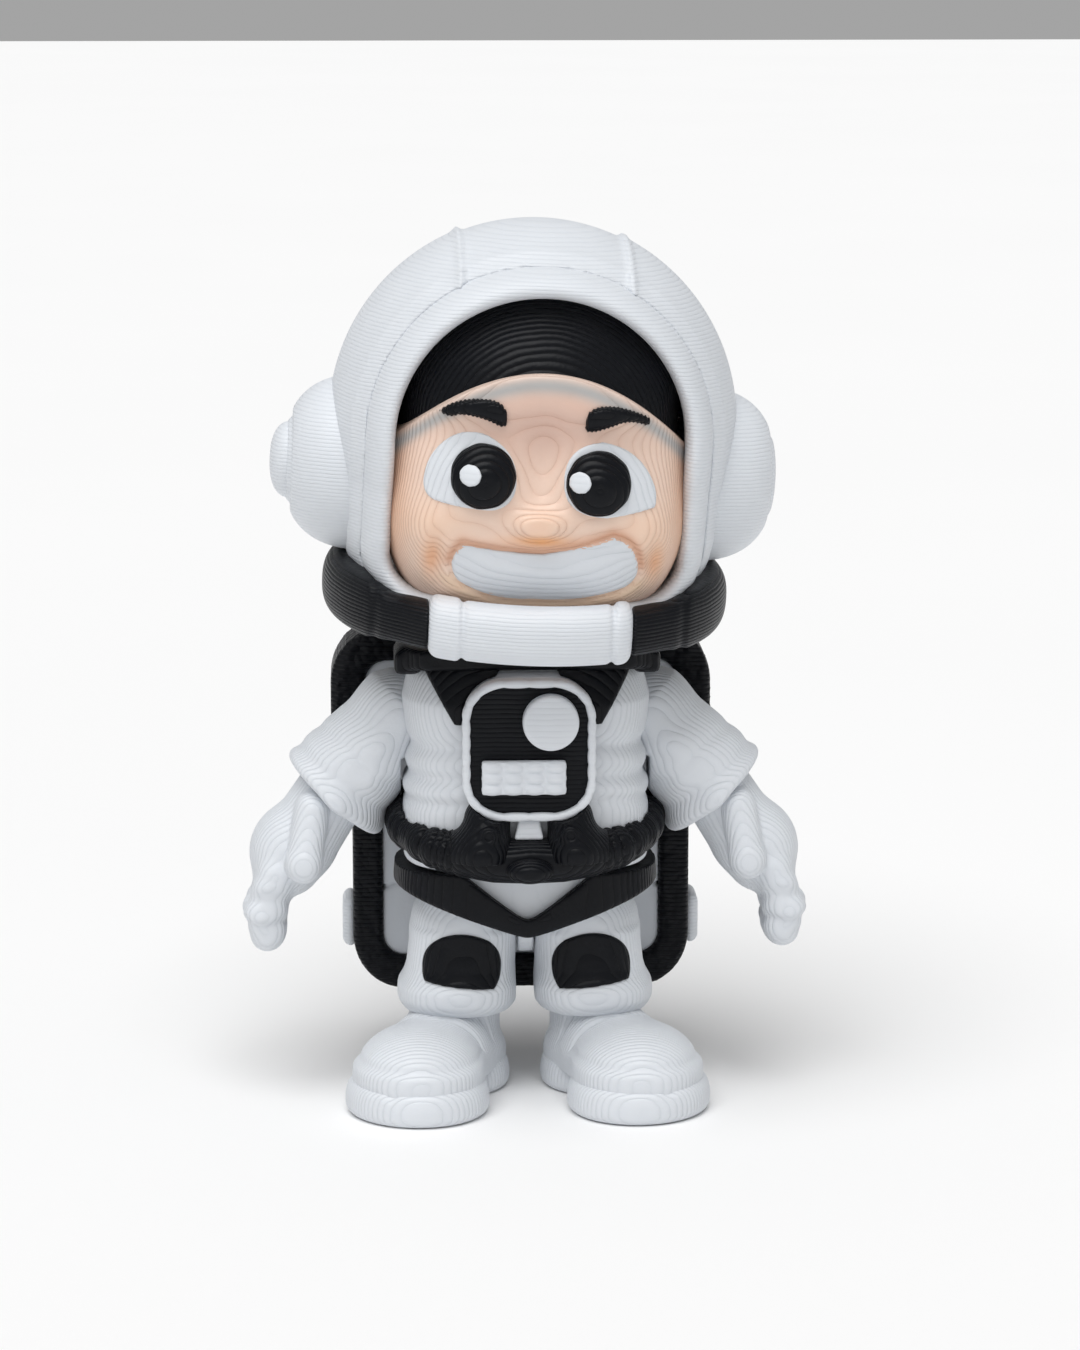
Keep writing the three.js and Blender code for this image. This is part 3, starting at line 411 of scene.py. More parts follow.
piece("torso_shell", torso_shell, "white_front", margin=0.5, step=0.2)


def shoulder_yoke(p):
    x, y, z = p
    low, high = span("shoulder_yoke")
    flat = flat_box(x, y - TORSO_Y, high[0] - 0.1, 6.2, 2.6)
    plate = slab(flat, z, low[2] - 0.3, high[2], 0.4)
    fields = [plate]
    for sign in (1, -1):
        tab = box(p, (sign * 9.0, TORSO_Y - 2.6, low[2] + 0.1), (1.0, 2.4, 0.9), 0.5)
        fields.append(tab)
    return many(fields, 0.5)


piece("shoulder_yoke", shoulder_yoke, "black_front", margin=1.0, step=0.18)

STRAP = [(1.7, 35.0), (8.2, 35.0), (7.4, 33.4), (5.1, 29.4), (4.2, 31.9), (2.5, 33.6)]


def strap_form(sign):
    def form(p):
        x, y, z = p
        flat = polygon(x * sign, z, STRAP)
        layer = np.maximum(torso_form(p, 0.62, folds=False), -torso_form(p, -0.2, folds=False))
        front = y + 3.2
        body = smooth_both(flat, layer, 0.25)
        body = np.maximum(body, front)
        return np.maximum(body, -slab(panel_outline(p, 0.1), y, -14, -4, 0.1))
    return form


for name, sign in SIDES:
    piece(f"{name}_harness_strap", strap_form(sign), "black_front", margin=0.6, step=0.14)


# ---------- chest panel ----------
def panel_plate(p):
    low, high = span("panel_plate")
    return slab(panel_outline(p, 0.4), p[1], low[1], high[1], 0.15)


def panel_rim(p):
    x, y, z = p
    ring = np.abs(panel_outline(p, 0.32)) - 0.3
    angle_run = np.where(np.abs(x) > np.abs(z - PANEL_Z) * 0.9, z * 10.6, x * 6.4)
    beads = 0.08 * np.abs(np.sin(angle_run * 0.26)) ** 0.6
    return slab(ring - beads + 0.06, y, PANEL_FRONT + 0.02, PANEL_FRONT + 1.5, 0.28)


def panel_dial(p):
    low, high = span("panel_dial")
    x, y, z = p
    cx, cz = (low[0] + high[0]) / 2, (low[2] + high[2]) / 2
    flat = np.sqrt((x - cx) ** 2 + (z - cz) ** 2) - (high[0] - low[0]) / 2 - 0.1
    return slab(flat, y, low[1], high[1] + 0.6, 0.2)


def panel_button_block(p):
    low, high = span("panel_button_block")
    cx, cz = (low[0] + high[0]) / 2, (low[2] + high[2]) / 2
    half_x, half_z = (high[0] - low[0]) / 2, (high[2] - low[2]) / 2
    base = box(p, (cx, high[1] - 0.1, cz), (half_x - 0.12, 0.45, half_z - 0.1), 0.15)
    fields = [base]
    for i in range(4):
        for j in range(3):
            bx = cx + half_x * ((2 * i + 1) / 4 - 1) * 0.96
            bz = cz + half_z * ((2 * j + 1) / 3 - 1) * 0.94
            fields.append(ellipsoid(p, (bx, low[1] + 0.5, bz), (0.82, 0.56, 0.46)))
    return many(fields, 0.1)


piece("panel_plate", panel_plate, "black_raster", margin=0.8, step=0.15)
piece("panel_rim", panel_rim, "white_smooth", margin=0.5, step=0.1)
piece("panel_dial", panel_dial, "white_smooth", margin=0.6, step=0.1)
piece("panel_button_block", panel_button_block, "white_smooth", margin=0.5, step=0.08)

# ---------- waist ----------
HOSE_TUBE = 1.7
WRINKLE_PITCH, WRINKLE_DEPTH, WRINKLE_WIDTH = 1.25, 0.24, 0.16
HOSE_HALF = [(8.6, 4.4, 21.8), (9.15, 2.0, 21.7), (9.2, 0, 21.5), (8.95, -2.4, 21.2), (8.2, -4.5, 20.9),
             (6.7, -6.5, 20.5), (4.8, -7.7, 20.2), (2.5, -8.4, 19.95), (0, -8.6, 19.9)]
HOSE_PATH = HOSE_HALF + [(-x, y, z) for x, y, z in HOSE_HALF[-2::-1]]


def path_gap(p, path):
    """Distance from a bent line, and how far along it the nearest place is."""
    best = None
    run = None
    travelled = 0.0
    for start, end in zip(path[:-1], path[1:]):
        share, gap = along(p, start, end)
        length = math.dist(start, end)
        here = travelled + share * length
        run = here if best is None else np.where(gap < best, here, run)
        best = gap if best is None else np.minimum(best, gap)
        travelled += length
    return best, run, travelled


def waist_hose(p):
    gap, run, total = path_gap(p, HOSE_PATH)
    middle = np.abs(run - total / 2)
    place = np.mod(run * (1 + 0.05 * np.sin(run)), WRINKLE_PITCH) - 0.62
    wrinkle = WRINKLE_DEPTH * np.exp(-(place / WRINKLE_WIDTH) ** 2)
    wrinkle = wrinkle * ramp(middle, 3.5, 5.0)
    tube = gap - HOSE_TUBE + wrinkle
    return np.maximum(tube, -torso_form(p, 0.02))


piece("waist_hose", waist_hose, "black_front", margin=0.5, step=0.18)


def fitting_form(sign):
    def form(p):
        x, y, z = p
        q = (x * sign, y, z)
        column = capsule(q, (3.1, -8.2, 23.1), (3.5, -8.7, 20.6), 1.75, 1.95)
        foot = capsule(q, (3.5, -8.7, 20.6), (5.6, -7.7, 20.2), 1.95, 1.85)
        body = smooth_union(column, foot, 1.0)
        boss = ellipsoid(q, (3.05, -10.1, 22.2), (0.8, 0.55, 0.8))
        dimple = ellipsoid(q, (3.05, -10.75, 22.25), (0.42, 0.35, 0.42))
        rivet = ellipsoid(q, (2.75, -9.9, 23.4), (0.5, 0.4, 0.5))
        body = smooth_cut(many([body, boss, rivet], 0.15), dimple, 0.1)
        body = np.maximum(body, -torso_form(p, 0.0, folds=False))
        return np.maximum(body, -slab(panel_outline(p, 0.0), y, -14, -4, 0.1))
    return form


for name, sign in SIDES:
    piece(f"{name}_hose_fitting", fitting_form(sign), "black_front", margin=1.2, step=0.13)


def hose_coupling(p):
    low, high = span("hose_coupling")
    cz = (low[2] + high[2]) / 2
    return ellipsoid(p, (0, low[1] + 1.05, cz), (1.75, 1.15, 0.95))


piece("hose_coupling", hose_coupling, "black_front", margin=0.4, step=0.1)


def buckle_tab(p):
    low, high = span("buckle_tab")
    x, y, z = p
    wide = 0.85 + (high[2] - z) * 0.22
    flat = flat_box(x / wide, z - (low[2] + high[2]) / 2, 1.0, (high[2] - low[2]) / 2 + 0.3, 0.15)
    return slab(flat, y, low[1], high[1], 0.2)


piece("buckle_tab", buckle_tab, "white_smooth", margin=0.5, step=0.1)

# ---------- pelvis ----------
pelvis_low, pelvis_high = span("pelvis_block")
PELVIS_Y = (pelvis_low[1] + pelvis_high[1]) / 2
HIP = spot("left_hip_swing")
HIP_BALL = 4.15
SWING_ROOM = 0.6
BAND_FOOT = 13.25
BAND_SIDE = 16.7


def pelvis_column(p, grow=0.0):
    x, y, z = p
    levels = [11.2, 15.0, 18.3]
    wide = np.interp(z, levels, [8.4, 8.9, 8.7])
    deep = np.interp(z, levels, [5.2, 5.6, 5.6])
    power = 2.6
    ring = (np.abs(x / wide) ** power + np.abs((y - PELVIS_Y) / deep) ** power) ** (1 / power)
    return (ring - 1) * 6.5 - grow


def above_v(p, rise, rise_side=None):
    """Below zero above the V line: rise at the middle and rise_side at the hips."""
    x, _, z = p
    side = rise if rise_side is None else rise_side
    share = np.clip(np.sqrt(x * x + 0.25) / 10.0, 0, 1)
    edge = BAND_FOOT + rise + (BAND_SIDE - BAND_FOOT + side - rise) * share
    return (edge - z) * 0.95


def pelvis_block(p):
    z = p[2]
    body = np.maximum(pelvis_column(p), above_v(p, 0.1))
    body = smooth_both(body, z - pelvis_high[2], 0.4)
    for sign in (1, -1):
        body = np.maximum(body, -ball(p, (sign * HIP[0], HIP[1], HIP[2]), HIP_BALL + SWING_ROOM))
    lug = slab(np.sqrt((p[1] - HIP[1]) ** 2 + (z - HIP[2]) ** 2) - 2.3, p[0], -0.6, 0.6, 0.2)
    return np.minimum(body, lug)


def pelvis_band(p):
    layer = np.maximum(pelvis_column(p, 1.0), -pelvis_column(p, -0.1))
    strip = np.maximum(above_v(p, 0.0), -above_v(p, 1.2, 5.6))
    body = smooth_both(layer, strip, 0.3)
    return np.maximum(body, p[2] - pelvis_high[2])


piece("pelvis_block", pelvis_block, "white_front", margin=0.4, step=0.2)
piece("pelvis_band", pelvis_band, "black_front", margin=0.6, step=0.17)

# ---------- backpack ----------
pack_low, pack_high = span("backpack_frame")
PACK_TOP, PACK_BOTTOM = pack_high[2], pack_low[2]
PACK_HALF_TOP = pack_high[0]
PACK_HALF_BOTTOM = span("left_side_pod")[0][0] - 0.3
PACK_MIDDLE = (PACK_TOP + PACK_BOTTOM) / 2
PACK_CORNER = 4.4
SEAM_SLOPE, SEAM_CROSS_Z, SEAM_DEPTH = 0.34, 17.6, 0.3
FLAP_Z, RIB_X = 27.4, 5.4


def pack_outline(p, inset=0.0):
    x, _, z = p
    wide = PACK_HALF_BOTTOM + (PACK_HALF_TOP - PACK_HALF_BOTTOM) * ramp(z, 19.6, 23.4)
    half_height = (PACK_TOP - PACK_BOTTOM) / 2
    flat = flat_box(x / wide * PACK_HALF_TOP, z - PACK_MIDDLE, PACK_HALF_TOP, half_height, PACK_CORNER)
    return flat + inset


def backpack_frame(p):
    x, y, z = p
    ring = np.maximum(pack_outline(p), -pack_outline(p, 2.7))
    lumps = 0.07 * np.sin(x * 9.1) * np.sin(z * 8.3 + y * 2.0) * np.sin(y * 8.7 + 1.0)
    return slab(ring, y, pack_low[1] + 0.1, pack_high[1], 0.55) - lumps


def backpack_shell(p):
    x, y, z = p
    low, high = span("backpack_shell")
    plate = slab(pack_outline(p, 2.6), y, low[1], high[1] - 0.8, 0.3)
    raised = slab(pack_outline(p, 4.6), y, low[1] + 1, high[1], 0.8)
    body = smooth_union(plate, raised, 0.5)
    across = SEAM_SLOPE * x
    seams = np.minimum(np.abs(z + across - SEAM_CROSS_Z), np.abs(z - across - SEAM_CROSS_Z))
    front_groove = SEAM_DEPTH * np.exp(-(seams / 0.16) ** 2) * (y < low[1] + 2)
    behind = y > low[1] + 3
    flap_line = SEAM_DEPTH * np.exp(-((z - FLAP_Z) / 0.22) ** 2) * behind
    side_lines = SEAM_DEPTH * np.exp(-((np.abs(x) - RIB_X) / 0.22) ** 2) * behind * (z < FLAP_Z)
    return body + front_groove + flap_line + side_lines


piece("backpack_frame", backpack_frame, "black_stipple", margin=0.4, step=0.24)
piece("backpack_shell", backpack_shell, "white_front", margin=0.4, step=0.25)
for name, sign in SIDES:
    pod_low, pod_high = span(f"{name}_side_pod")

    def pod(p, low=pod_low, high=pod_high, side=sign):
        centre = (low + high) / 2 - np.array([side * 0.45, 0, 0])
        half = (high - low) / 2 + np.array([0.2, 0, 0])
        return box(p, centre, half, 0.75)
    piece(f"{name}_side_pod", pod, "white_level", margin=0.5, step=0.15)

# ---------- head: worked out upright, then tilted with the neck ----------
NECK = spot("neck_turn")
HEAD_ROLL, HEAD_YAW = math.radians(2.6), math.radians(1.5)
TILT = (Matrix.Translation(Vector(NECK)) @ Euler((0, 0, HEAD_YAW)).to_matrix().to_4x4()
        @ Euler((0, HEAD_ROLL, 0)).to_matrix().to_4x4() @ Matrix.Translation(-Vector(NECK)))
helmet_low, helmet_high = span("helmet_shell")
HELMET_R = 15.4
HELMET_Z = helmet_high[2] - HELMET_R
WALL = 2.0
VISOR_HALF, VISOR_TOP, VISOR_BOTTOM, VISOR_CORNER = 10.75, 62.4, 40.1, 3.0
ARCH_Z = VISOR_TOP - VISOR_HALF
RIM_WIDE = 2.1
CHIN_HALF, CHIN_TOP = 6.5, 41.2
RIDGE_X = 6.3
DENTS = ((-8.0, -8.6, 63.2), (7.9, -8.6, 63.4), (-5.4, -9.8, 62.9), (5.3, -9.8, 63.2))


def helmet_form(p, inset=0.0):
    x, y, z = p
    rho = np.sqrt(x * x + y * y)
    join = HELMET_Z - 4.26
    heights = [HELMET_Z - 13.7, HELMET_Z - 11.6, HELMET_Z - 8.1, HELMET_Z - 6.0, join]
    wall = (rho - np.interp(z, heights, [12.6, 13.25, 14.25, 14.6, 14.8])) * 0.97
    dome = np.sqrt(rho ** 2 + (z - HELMET_Z) ** 2) - HELMET_R
    return np.where(z > join, dome, wall) + inset


def visor_arch(p):
    """Distance from the edge of the visor opening seen from the front, below zero inside it."""
    x, _, z = p
    round_top = np.sqrt(x * x + (z - ARCH_Z) ** 2) - VISOR_HALF
    reach = VISOR_TOP - VISOR_BOTTOM
    lower = flat_box(x, z - VISOR_TOP, VISOR_HALF, reach, VISOR_CORNER)
    return np.where(z > ARCH_Z, round_top, lower)


def helmet_shell(p):
    x, y, z = p
    skin = helmet_form(p)
    over_top = ramp(z, HELMET_Z + 2.5, HELMET_Z + 6)
    ridge = 0.26 * np.exp(-((np.abs(x) - RIDGE_X) / 0.28) ** 2) * over_top
    band = -0.16 * (1 - ramp(np.abs(x), RIDGE_X - 0.4, RIDGE_X)) * over_top
    outer = skin - ridge - band
    arch = visor_arch(p)
    facing = y < 2
    line = np.exp(-((arch - RIM_WIDE - 1.0) / 0.22) ** 2) * facing
    outer = outer - 0.13 * line
    for dent in DENTS:
        outer = outer + 0.2 * bump3(p, dent, (0.9, 1.3, 0.7))
    shell = smooth_both(outer, -(skin + WALL), 0.3)
    opening = np.maximum(arch - RIM_WIDE + 0.15, y + 0.2)
    shell = smooth_cut(shell, opening, 0.35)
    return np.maximum(shell, helmet_low[2] - 0.2 - z)


def visor_rim(p):
    x, y, z = p
    across = (visor_arch(p) - RIM_WIDE * 0.52) / (RIM_WIDE * 0.52)
    into = (helmet_form(p) + 0.75) / 1.35
    roll = (np.sqrt(across ** 2 + into ** 2) - 1) * 1.15
    lip = np.sqrt(((visor_arch(p) - 0.75) / 0.75) ** 2 + ((helmet_form(p) + 1.9) / 1.5) ** 2)
    roll = smooth_union(roll, (lip - 1) * 0.8, 0.6)
    roll = np.maximum(roll, y + 0.3)
    chin_gap = np.maximum(np.abs(x) - CHIN_HALF, z - CHIN_TOP)
    roll = smooth_cut(roll, chin_gap, 0.3)
    return np.maximum(roll, helmet_low[2] - 0.2 - z)


piece("helmet_shell", helmet_shell, "white_level", margin=0.5, step=0.25, tilt=TILT)
piece("visor_rim", visor_rim, "white_level", margin=0.5, step=0.2, tilt=TILT)


EAR_Y, EAR_Z = 1.0, 48.3
EAR_R, EAR_ROOT, EAR_OUT = 6.7, 11.8, 18.7
KNOB_R, KNOB_TALL = 2.9, 1.6


def ear_form(sign):
    def form(p):
        x, y, z = p
        rho = np.sqrt((y - EAR_Y) ** 2 + (z - EAR_Z) ** 2)
        reach = np.clip(x * sign - EAR_ROOT, 0, None) / (EAR_OUT - EAR_ROOT)
        body = (((rho / EAR_R) ** 2.7 + reach ** 2.7) ** (1 / 2.7) - 1) * 6.0
        body = body + 0.2 * np.exp(-((rho - 3.4) / 0.3) ** 2) * (x * sign > EAR_OUT - 1)
        return np.maximum(body, -helmet_form(p, 0.4))
    return form


for name, sign in SIDES:
    piece(f"{name}_ear_cup", ear_form(sign), "white_level", margin=0.5, step=0.18, tilt=TILT)


def right_ear_knob(p):
    x, y, z = p
    rho = np.sqrt((y - EAR_Y) ** 2 + (z - EAR_Z) ** 2)
    reach = (-x - EAR_OUT + 0.6) / KNOB_TALL
    dome = (((rho / KNOB_R) ** 2.4 + np.abs(reach) ** 2.4) ** (1 / 2.4) - 1) * KNOB_TALL
    return np.maximum(dome, x + EAR_OUT - 0.5)


piece("right_ear_knob", right_ear_knob, "white_level", margin=0.6, step=0.13, tilt=TILT)

# ---------- face ----------
FACE_C = np.array([0.0, -1.6, 50.4])
FACE_R = np.array([11.3, 11.7, 12.6])
FACE_POWER = 3.5
NECK_BOSS_R, NECK_BOSS_FOOT, NECK_SOCKET_R = 5.4, 36.9, 2.6
EYES = {
    "left": {"socket": (4.9, 49.6), "pupil": (4.02, 49.41), "glint": (2.61, 49.54)},
    "right": {"socket": (-5.2, 49.9), "pupil": (-4.37, 49.66), "glint": (-5.36, 49.81)},
}
EYE_OUTLINE = {
    "right": curve_points(
        (-8.6, 49.4), ((-8.4, 51.1), (-7.0, 52.2)), ((-5.7, 53.2), (-4.1, 52.6)),
        ((-1.5, 51.3), (-2.0, 48.5)), ((-2.6, 47.0), (-4.3, 47.2)), ((-6.0, 47.3), (-7.7, 47.7)),
        ((-8.8, 48.0), (-8.6, 49.4))),
    "left": curve_points(
        (1.5, 49.1), ((1.3, 52.1), (4.2, 52.4)), ((7.1, 52.0), (8.2, 49.3)), ((8.5, 48.5), (8.3, 47.7)),
        ((6.5, 47.2), (4.8, 46.9)), ((1.7, 46.9), (1.5, 49.1))),
}
PUPIL_R, PUPIL_DOME, GLINT_R = 2.37, 0.55, 0.78
SMILE = curve_points(
    (-5.6, 44.5), ((-2.7, 44.0), (0.2, 44.0)), ((3.0, 44.4), (5.3, 45.5)), ((6.9, 45.2), (7.3, 43.3)),
    ((7.5, 42.2), (6.5, 41.5)), ((3.3, 40.2), (-0.2, 40.4)), ((-3.3, 40.1), (-5.8, 41.7)),
    ((-6.9, 43.2), (-5.6, 44.5)))
NOSE = (-0.15, 46.1)
HAIRLINE_TOP, HAIRLINE_DROP = 56.9, 0.0465


def face_base(p, grow=0.0):
    q = [np.abs((p[i] - FACE_C[i]) / FACE_R[i]) for i in range(3)]
    sum_power = (q[0] ** FACE_POWER + q[1] ** FACE_POWER + q[2] ** FACE_POWER) ** (1 / FACE_POWER)
    return (sum_power - 1) * 11.0 - grow


def relief(x, z):
    """How far the face stands forward of its plain form."""
    lift = 0.55 * bump(x, z, (0.2, 56.2), (6.5, 3.0))
    lift = lift - 0.55 * bump(x, z, (-0.1, 50.4), (1.7, 3.2))
    for side, sign in SIDES:
        eye = EYES[side]["socket"]
        lift = lift - 0.5 * bump(x, z, (eye[0], eye[1] + 2.2), (4.6, 2.2))
        lift = lift + 0.8 * bump(x, z, (eye[0] - 0.5 * sign, eye[1] - 0.4), (3.3, 3.2))
        lift = lift + 0.75 * bump(x, z, (sign * 8.4, 45.6), (2.4, 2.4))
        lift = lift - 0.35 * bump(x, z, (sign * 8.0 + 0.5, 43.6), (0.6, 1.5))
        lift = lift + 0.3 * bump(x, z, (sign * 5.2, 54.4), (3.0, 1.0))
    lift = lift + 1.5 * bump(x, z, NOSE, (2.0, 1.15))
    lift = lift - 0.25 * bump(x, z, (0.1, 45.0), (2.2, 0.4))
    lift = lift + 0.25 * bump(x, z, (0.2, 44.8), (5.5, 0.5))
    return lift


def face_form(p, grow=0.0):
    x, y, z = p
    forward = ramp(-y, 2.0, 8.0)
    return face_base(p, grow) - relief(x, z) * forward


def hairline(p):
    """Below zero above the hairline."""
    x, _, z = p
    edge = HAIRLINE_TOP - HAIRLINE_DROP * x ** 2
    return (edge - z) * 0.9


def hair_form(p):
    dome = ellipsoid(p, (0.3, -1.6, 56.6), (11.1, 11.9, 7.4))
    return smooth_union(dome, face_base(p, -0.8), 0.8)


def hair_cap(p):
    body = smooth_both(hair_form(p), hairline(p), 0.3)
    body = np.maximum(body, p[1] + 2.6)
    return np.maximum(body, helmet_form(p, WALL - 0.3))


def head_core(p):
    x, y, z = p
    body = np.maximum(face_form(p), -hairline(p) - 0.25)
    lip = polygon(x, z, SMILE)
    seat = 0.22 * np.exp(-((lip - 0.12) / 0.22) ** 2) + 0.3 * ramp(-lip, 0.1, 0.4)
    body = body + seat * ramp(-y, 2, 8)
    boss = slab(np.sqrt(x * x + y * y) - NECK_BOSS_R, z, NECK_BOSS_FOOT, 44, 0.3)
    body = np.minimum(body, boss)
    return np.maximum(body, -ball(p, tuple(NECK), NECK_SOCKET_R))


# paint on the face, which fades into the plain peach; the darker marks between the brows, under the nose, at the
# upper lip, at the mouth corners and down the jaw edges are painted shade
BETWEEN_BROWS_SHADE = (0.70, 0.47, 0.39)
NOSE_TINT = (0.86, 0.60, 0.45)
NOSTRIL_SHADE = (0.90, 0.42, 0.16)
CHEEK = (0.90, 0.64, 0.48)
JAW_EDGE_SHADE = (0.80, 0.44, 0.26)
MOUTH_CORNER_SHADE = (0.86, 0.42, 0.20)
UPPER_LIP_SHADE = (0.62, 0.26, 0.12)
LOWER_LIP = (0.90, 0.66, 0.46)
HAIR_HALO = (0.40, 0.43, 0.44)


def mix_tone(base, target, share):
    return base * (1 - share[:, None]) + np.array(target) * share[:, None]


def face_tone(x, y, z):
    tone = np.tile(np.array(PEACH), (len(x), 1))
    p = (x, y, z)
    # painted shade: darker between the brows, below the hair
    tone = mix_tone(tone, BETWEEN_BROWS_SHADE, 0.8 * bump(x, z, (0.0, 53.5), (6.0, 2.8)))
    tone = mix_tone(tone, NOSE_TINT, 0.8 * bump(x, z, (-0.1, 46.5), (2.4, 1.1)))
    # painted shade: orange darkening under the nose
    tone = mix_tone(tone, NOSTRIL_SHADE, 0.9 * bump(x, z, (0.0, 45.05), (2.1, 0.5)))
    for sign in (1, -1):
        tone = mix_tone(tone, CHEEK, 0.7 * bump(x, z, (sign * 7.8, 46.0), (2.6, 1.8)))
        # painted shade: darker orange down the sides of the face, next to the visor rim
        tone = mix_tone(tone, JAW_EDGE_SHADE, 0.6 * bump(x, z, (sign * 10.8, 46.5), (1.2, 8.0)))
        # painted shade: darker orange in the creases at the mouth corners
        tone = mix_tone(tone, MOUTH_CORNER_SHADE, 0.7 * bump(x, z, (sign * 8.2 + 0.4, 43.4), (0.7, 1.5)))
    lip = polygon(x, z, SMILE)
    # painted shade: dark band along the top edge of the smile, under the upper lip
    upper = np.exp(-((lip - 0.25) / 0.42) ** 2) * ramp(z, 42.5, 43.4)
    tone = mix_tone(tone, UPPER_LIP_SHADE, 0.6 * upper)
    lower = np.exp(-((lip - 0.5) / 0.7) ** 2) * (1 - ramp(z, 41.6, 42.6))
    tone = mix_tone(tone, LOWER_LIP, 0.7 * lower)
    halo = np.exp(-((hairline(p) - 0.45) / 0.55) ** 2) * (y < -4)
    tone = mix_tone(tone, HAIR_HALO, 0.85 * np.clip(halo, 0, 1))
    return np.clip(tone, 0, 1)


piece("head_core", head_core, "skin", margin=0.8, step=0.18, tilt=TILT, tone=face_tone)
piece("hair_cap", hair_cap, "black_front", margin=0.8, step=0.17, tilt=TILT)


def inlay(p, flat, proud, deep, edge=0.15):
    """A patch of the face: a flat outline seen from the front, standing proud of the skin."""
    return smooth_both(smooth_both(flat, face_form(p, proud), edge), -face_form(p, -deep), 0.1)


def rough_disc(p, centre, radius, wave):
    x, _, z = p
    angle = np.arctan2(z - centre[1], x - centre[0])
    uneven = wave * (np.sin(7 * angle + centre[0]) + 0.7 * np.sin(11 * angle + 1.3))
    return np.sqrt((x - centre[0]) ** 2 + (z - centre[1]) ** 2) - radius - uneven


def eye_white(side):
    def form(p):
        flat = polygon(p[0], p[2], EYE_OUTLINE[side])
        return inlay(p, flat, 0.12, 0.6)
    return form


def pupil(side):
    def form(p):
        x, _, z = p
        centre = EYES[side]["pupil"]
        flat = rough_disc(p, centre, PUPIL_R, 0.015)
        dome = PUPIL_DOME * bump(x, z, centre, (2.2, 2.2))
        top = face_form(p, 0.3) - dome
        return smooth_both(smooth_both(flat, top, 0.35), -face_form(p, -0.4), 0.1)
    return form


def glint(side):
    def form(p):
        x, _, z = p
        centre = EYES[side]["glint"]
        mid = EYES[side]["pupil"]
        flat = rough_disc(p, centre, GLINT_R, 0.01)
        dome = PUPIL_DOME * bump(x, z, mid, (2.2, 2.2))
        top = face_form(p, 0.42) - dome
        return smooth_both(smooth_both(flat, top, 0.2), -face_form(p, 0.1), 0.1)
    return form


BROW = {
    "left": curve_points(
        (2.9, 53.6), ((2.7, 55.2), (5.0, 55.0)), ((6.2, 54.8), (7.3, 54.3)), ((7.8, 54.0), (7.4, 53.7)),
        ((6.5, 54.1), (5.5, 53.9)), ((2.6, 52.6), (2.9, 53.6))),
    "right": curve_points(
        (-7.6, 54.2), ((-6.5, 55.3), (-4.4, 55.2)), ((-3.0, 55.2), (-2.9, 54.1)),
        ((-2.7, 53.1), (-3.4, 53.4)), ((-4.7, 54.1), (-6.3, 54.1)), ((-7.0, 53.7), (-7.6, 54.2))),
}


def brow(side):
    def form(p):
        flat = polygon(p[0], p[2], BROW[side]) - 0.05
        ribs = 0.07 * np.sin(p[0] * 21.0)
        return inlay(p, flat - ribs, 0.38, 0.4, 0.4)
    return form


for side, _ in SIDES:
    piece(f"{side}_eye_white", eye_white(side), "white_front", margin=0.9, step=0.13, tilt=TILT)
    piece(f"{side}_pupil", pupil(side), "black_front", margin=1.4, step=0.08, tilt=TILT)
    piece(f"{side}_glint", glint(side), "white_smooth", margin=1.4, step=0.06, tilt=TILT)
    piece(f"{side}_brow", brow(side), "black_front", margin=1.2, step=0.1, tilt=TILT)


def teeth(p):
    x, _, z = p
    flat = polygon(x, z, SMILE)
    belly = 0.25 * bump(x, z, (0.3, 42.6), (5.0, 1.5))
    top = face_form(p, -0.12) - belly
    return smooth_both(smooth_both(flat - 0.06, top, 0.2), -face_form(p, -1.2), 0.1)


piece("teeth", teeth, "white_front", margin=1.0, step=0.14, tilt=TILT)

# ---------- neck ring ----------
ring_low, ring_high = span("neck_ring")
RING_R = 13.65
RING_Z = (ring_high[2] + ring_low[2]) / 2
RING_PITCH = math.radians(5)
RING_CENTRE = Vector((0, 0, RING_Z))
RING_LEAN = (Matrix.Translation(RING_CENTRE) @ Euler((0, HEAD_ROLL, 0)).to_matrix().to_4x4()
             @ Euler((RING_PITCH, 0, 0)).to_matrix().to_4x4() @ Matrix.Translation(-RING_CENTRE))
CLAMP_HALF = (span("ring_clamp")[1][0] - span("ring_clamp")[0][0]) / 2


def ring_gap(p, tall, wide, lift=0.0):
    """Distance from a squarish tube of the given half height and half width round the neck."""
    x, y, z = p
    rho = np.sqrt(x * x + y * y)
    u, v = (rho - RING_R) / wide, (z - RING_Z - lift) / tall
    return ((np.abs(u) ** 2.6 + np.abs(v) ** 2.6) ** (1 / 2.6) - 1) * 1.8


def neck_ring(p):
    x, y, _ = p
    sideways = ramp(np.abs(x), 9.6, 12.0)
    side_part = ring_gap(p, 2.3, 1.75, 0.15)
    front_part = ring_gap(p, 1.75, 1.62)
    body = side_part * sideways + front_part * (1 - sideways)
    lobes = 0.12 * np.exp(-((np.abs(x) - 11.4) / 0.3) ** 2)
    cut = np.maximum(np.abs(x) - CLAMP_HALF - 0.05, y)
    return smooth_cut(body + lobes, cut, 0.2)


def ring_clamp(p):
    x, y, _ = p
    body = ring_gap(p, 2.15, 1.85)
    seam = np.minimum(np.abs(x + 5.0), np.abs(x - 6.0))
    collar = 0.1 * ramp(np.abs(x - 0.5), 5.5, 5.9)
    body = body + 0.16 * np.exp(-(seam / 0.2) ** 2) - collar
    ends = np.abs(x) - CLAMP_HALF - 0.1
    return np.maximum(smooth_both(body, ends, 0.9), y)


piece("neck_ring", neck_ring, "black_level", margin=0.9, step=0.2, tilt=RING_LEAN)
piece("ring_clamp", ring_clamp, "white_level", margin=0.5, step=0.16, tilt=RING_LEAN)

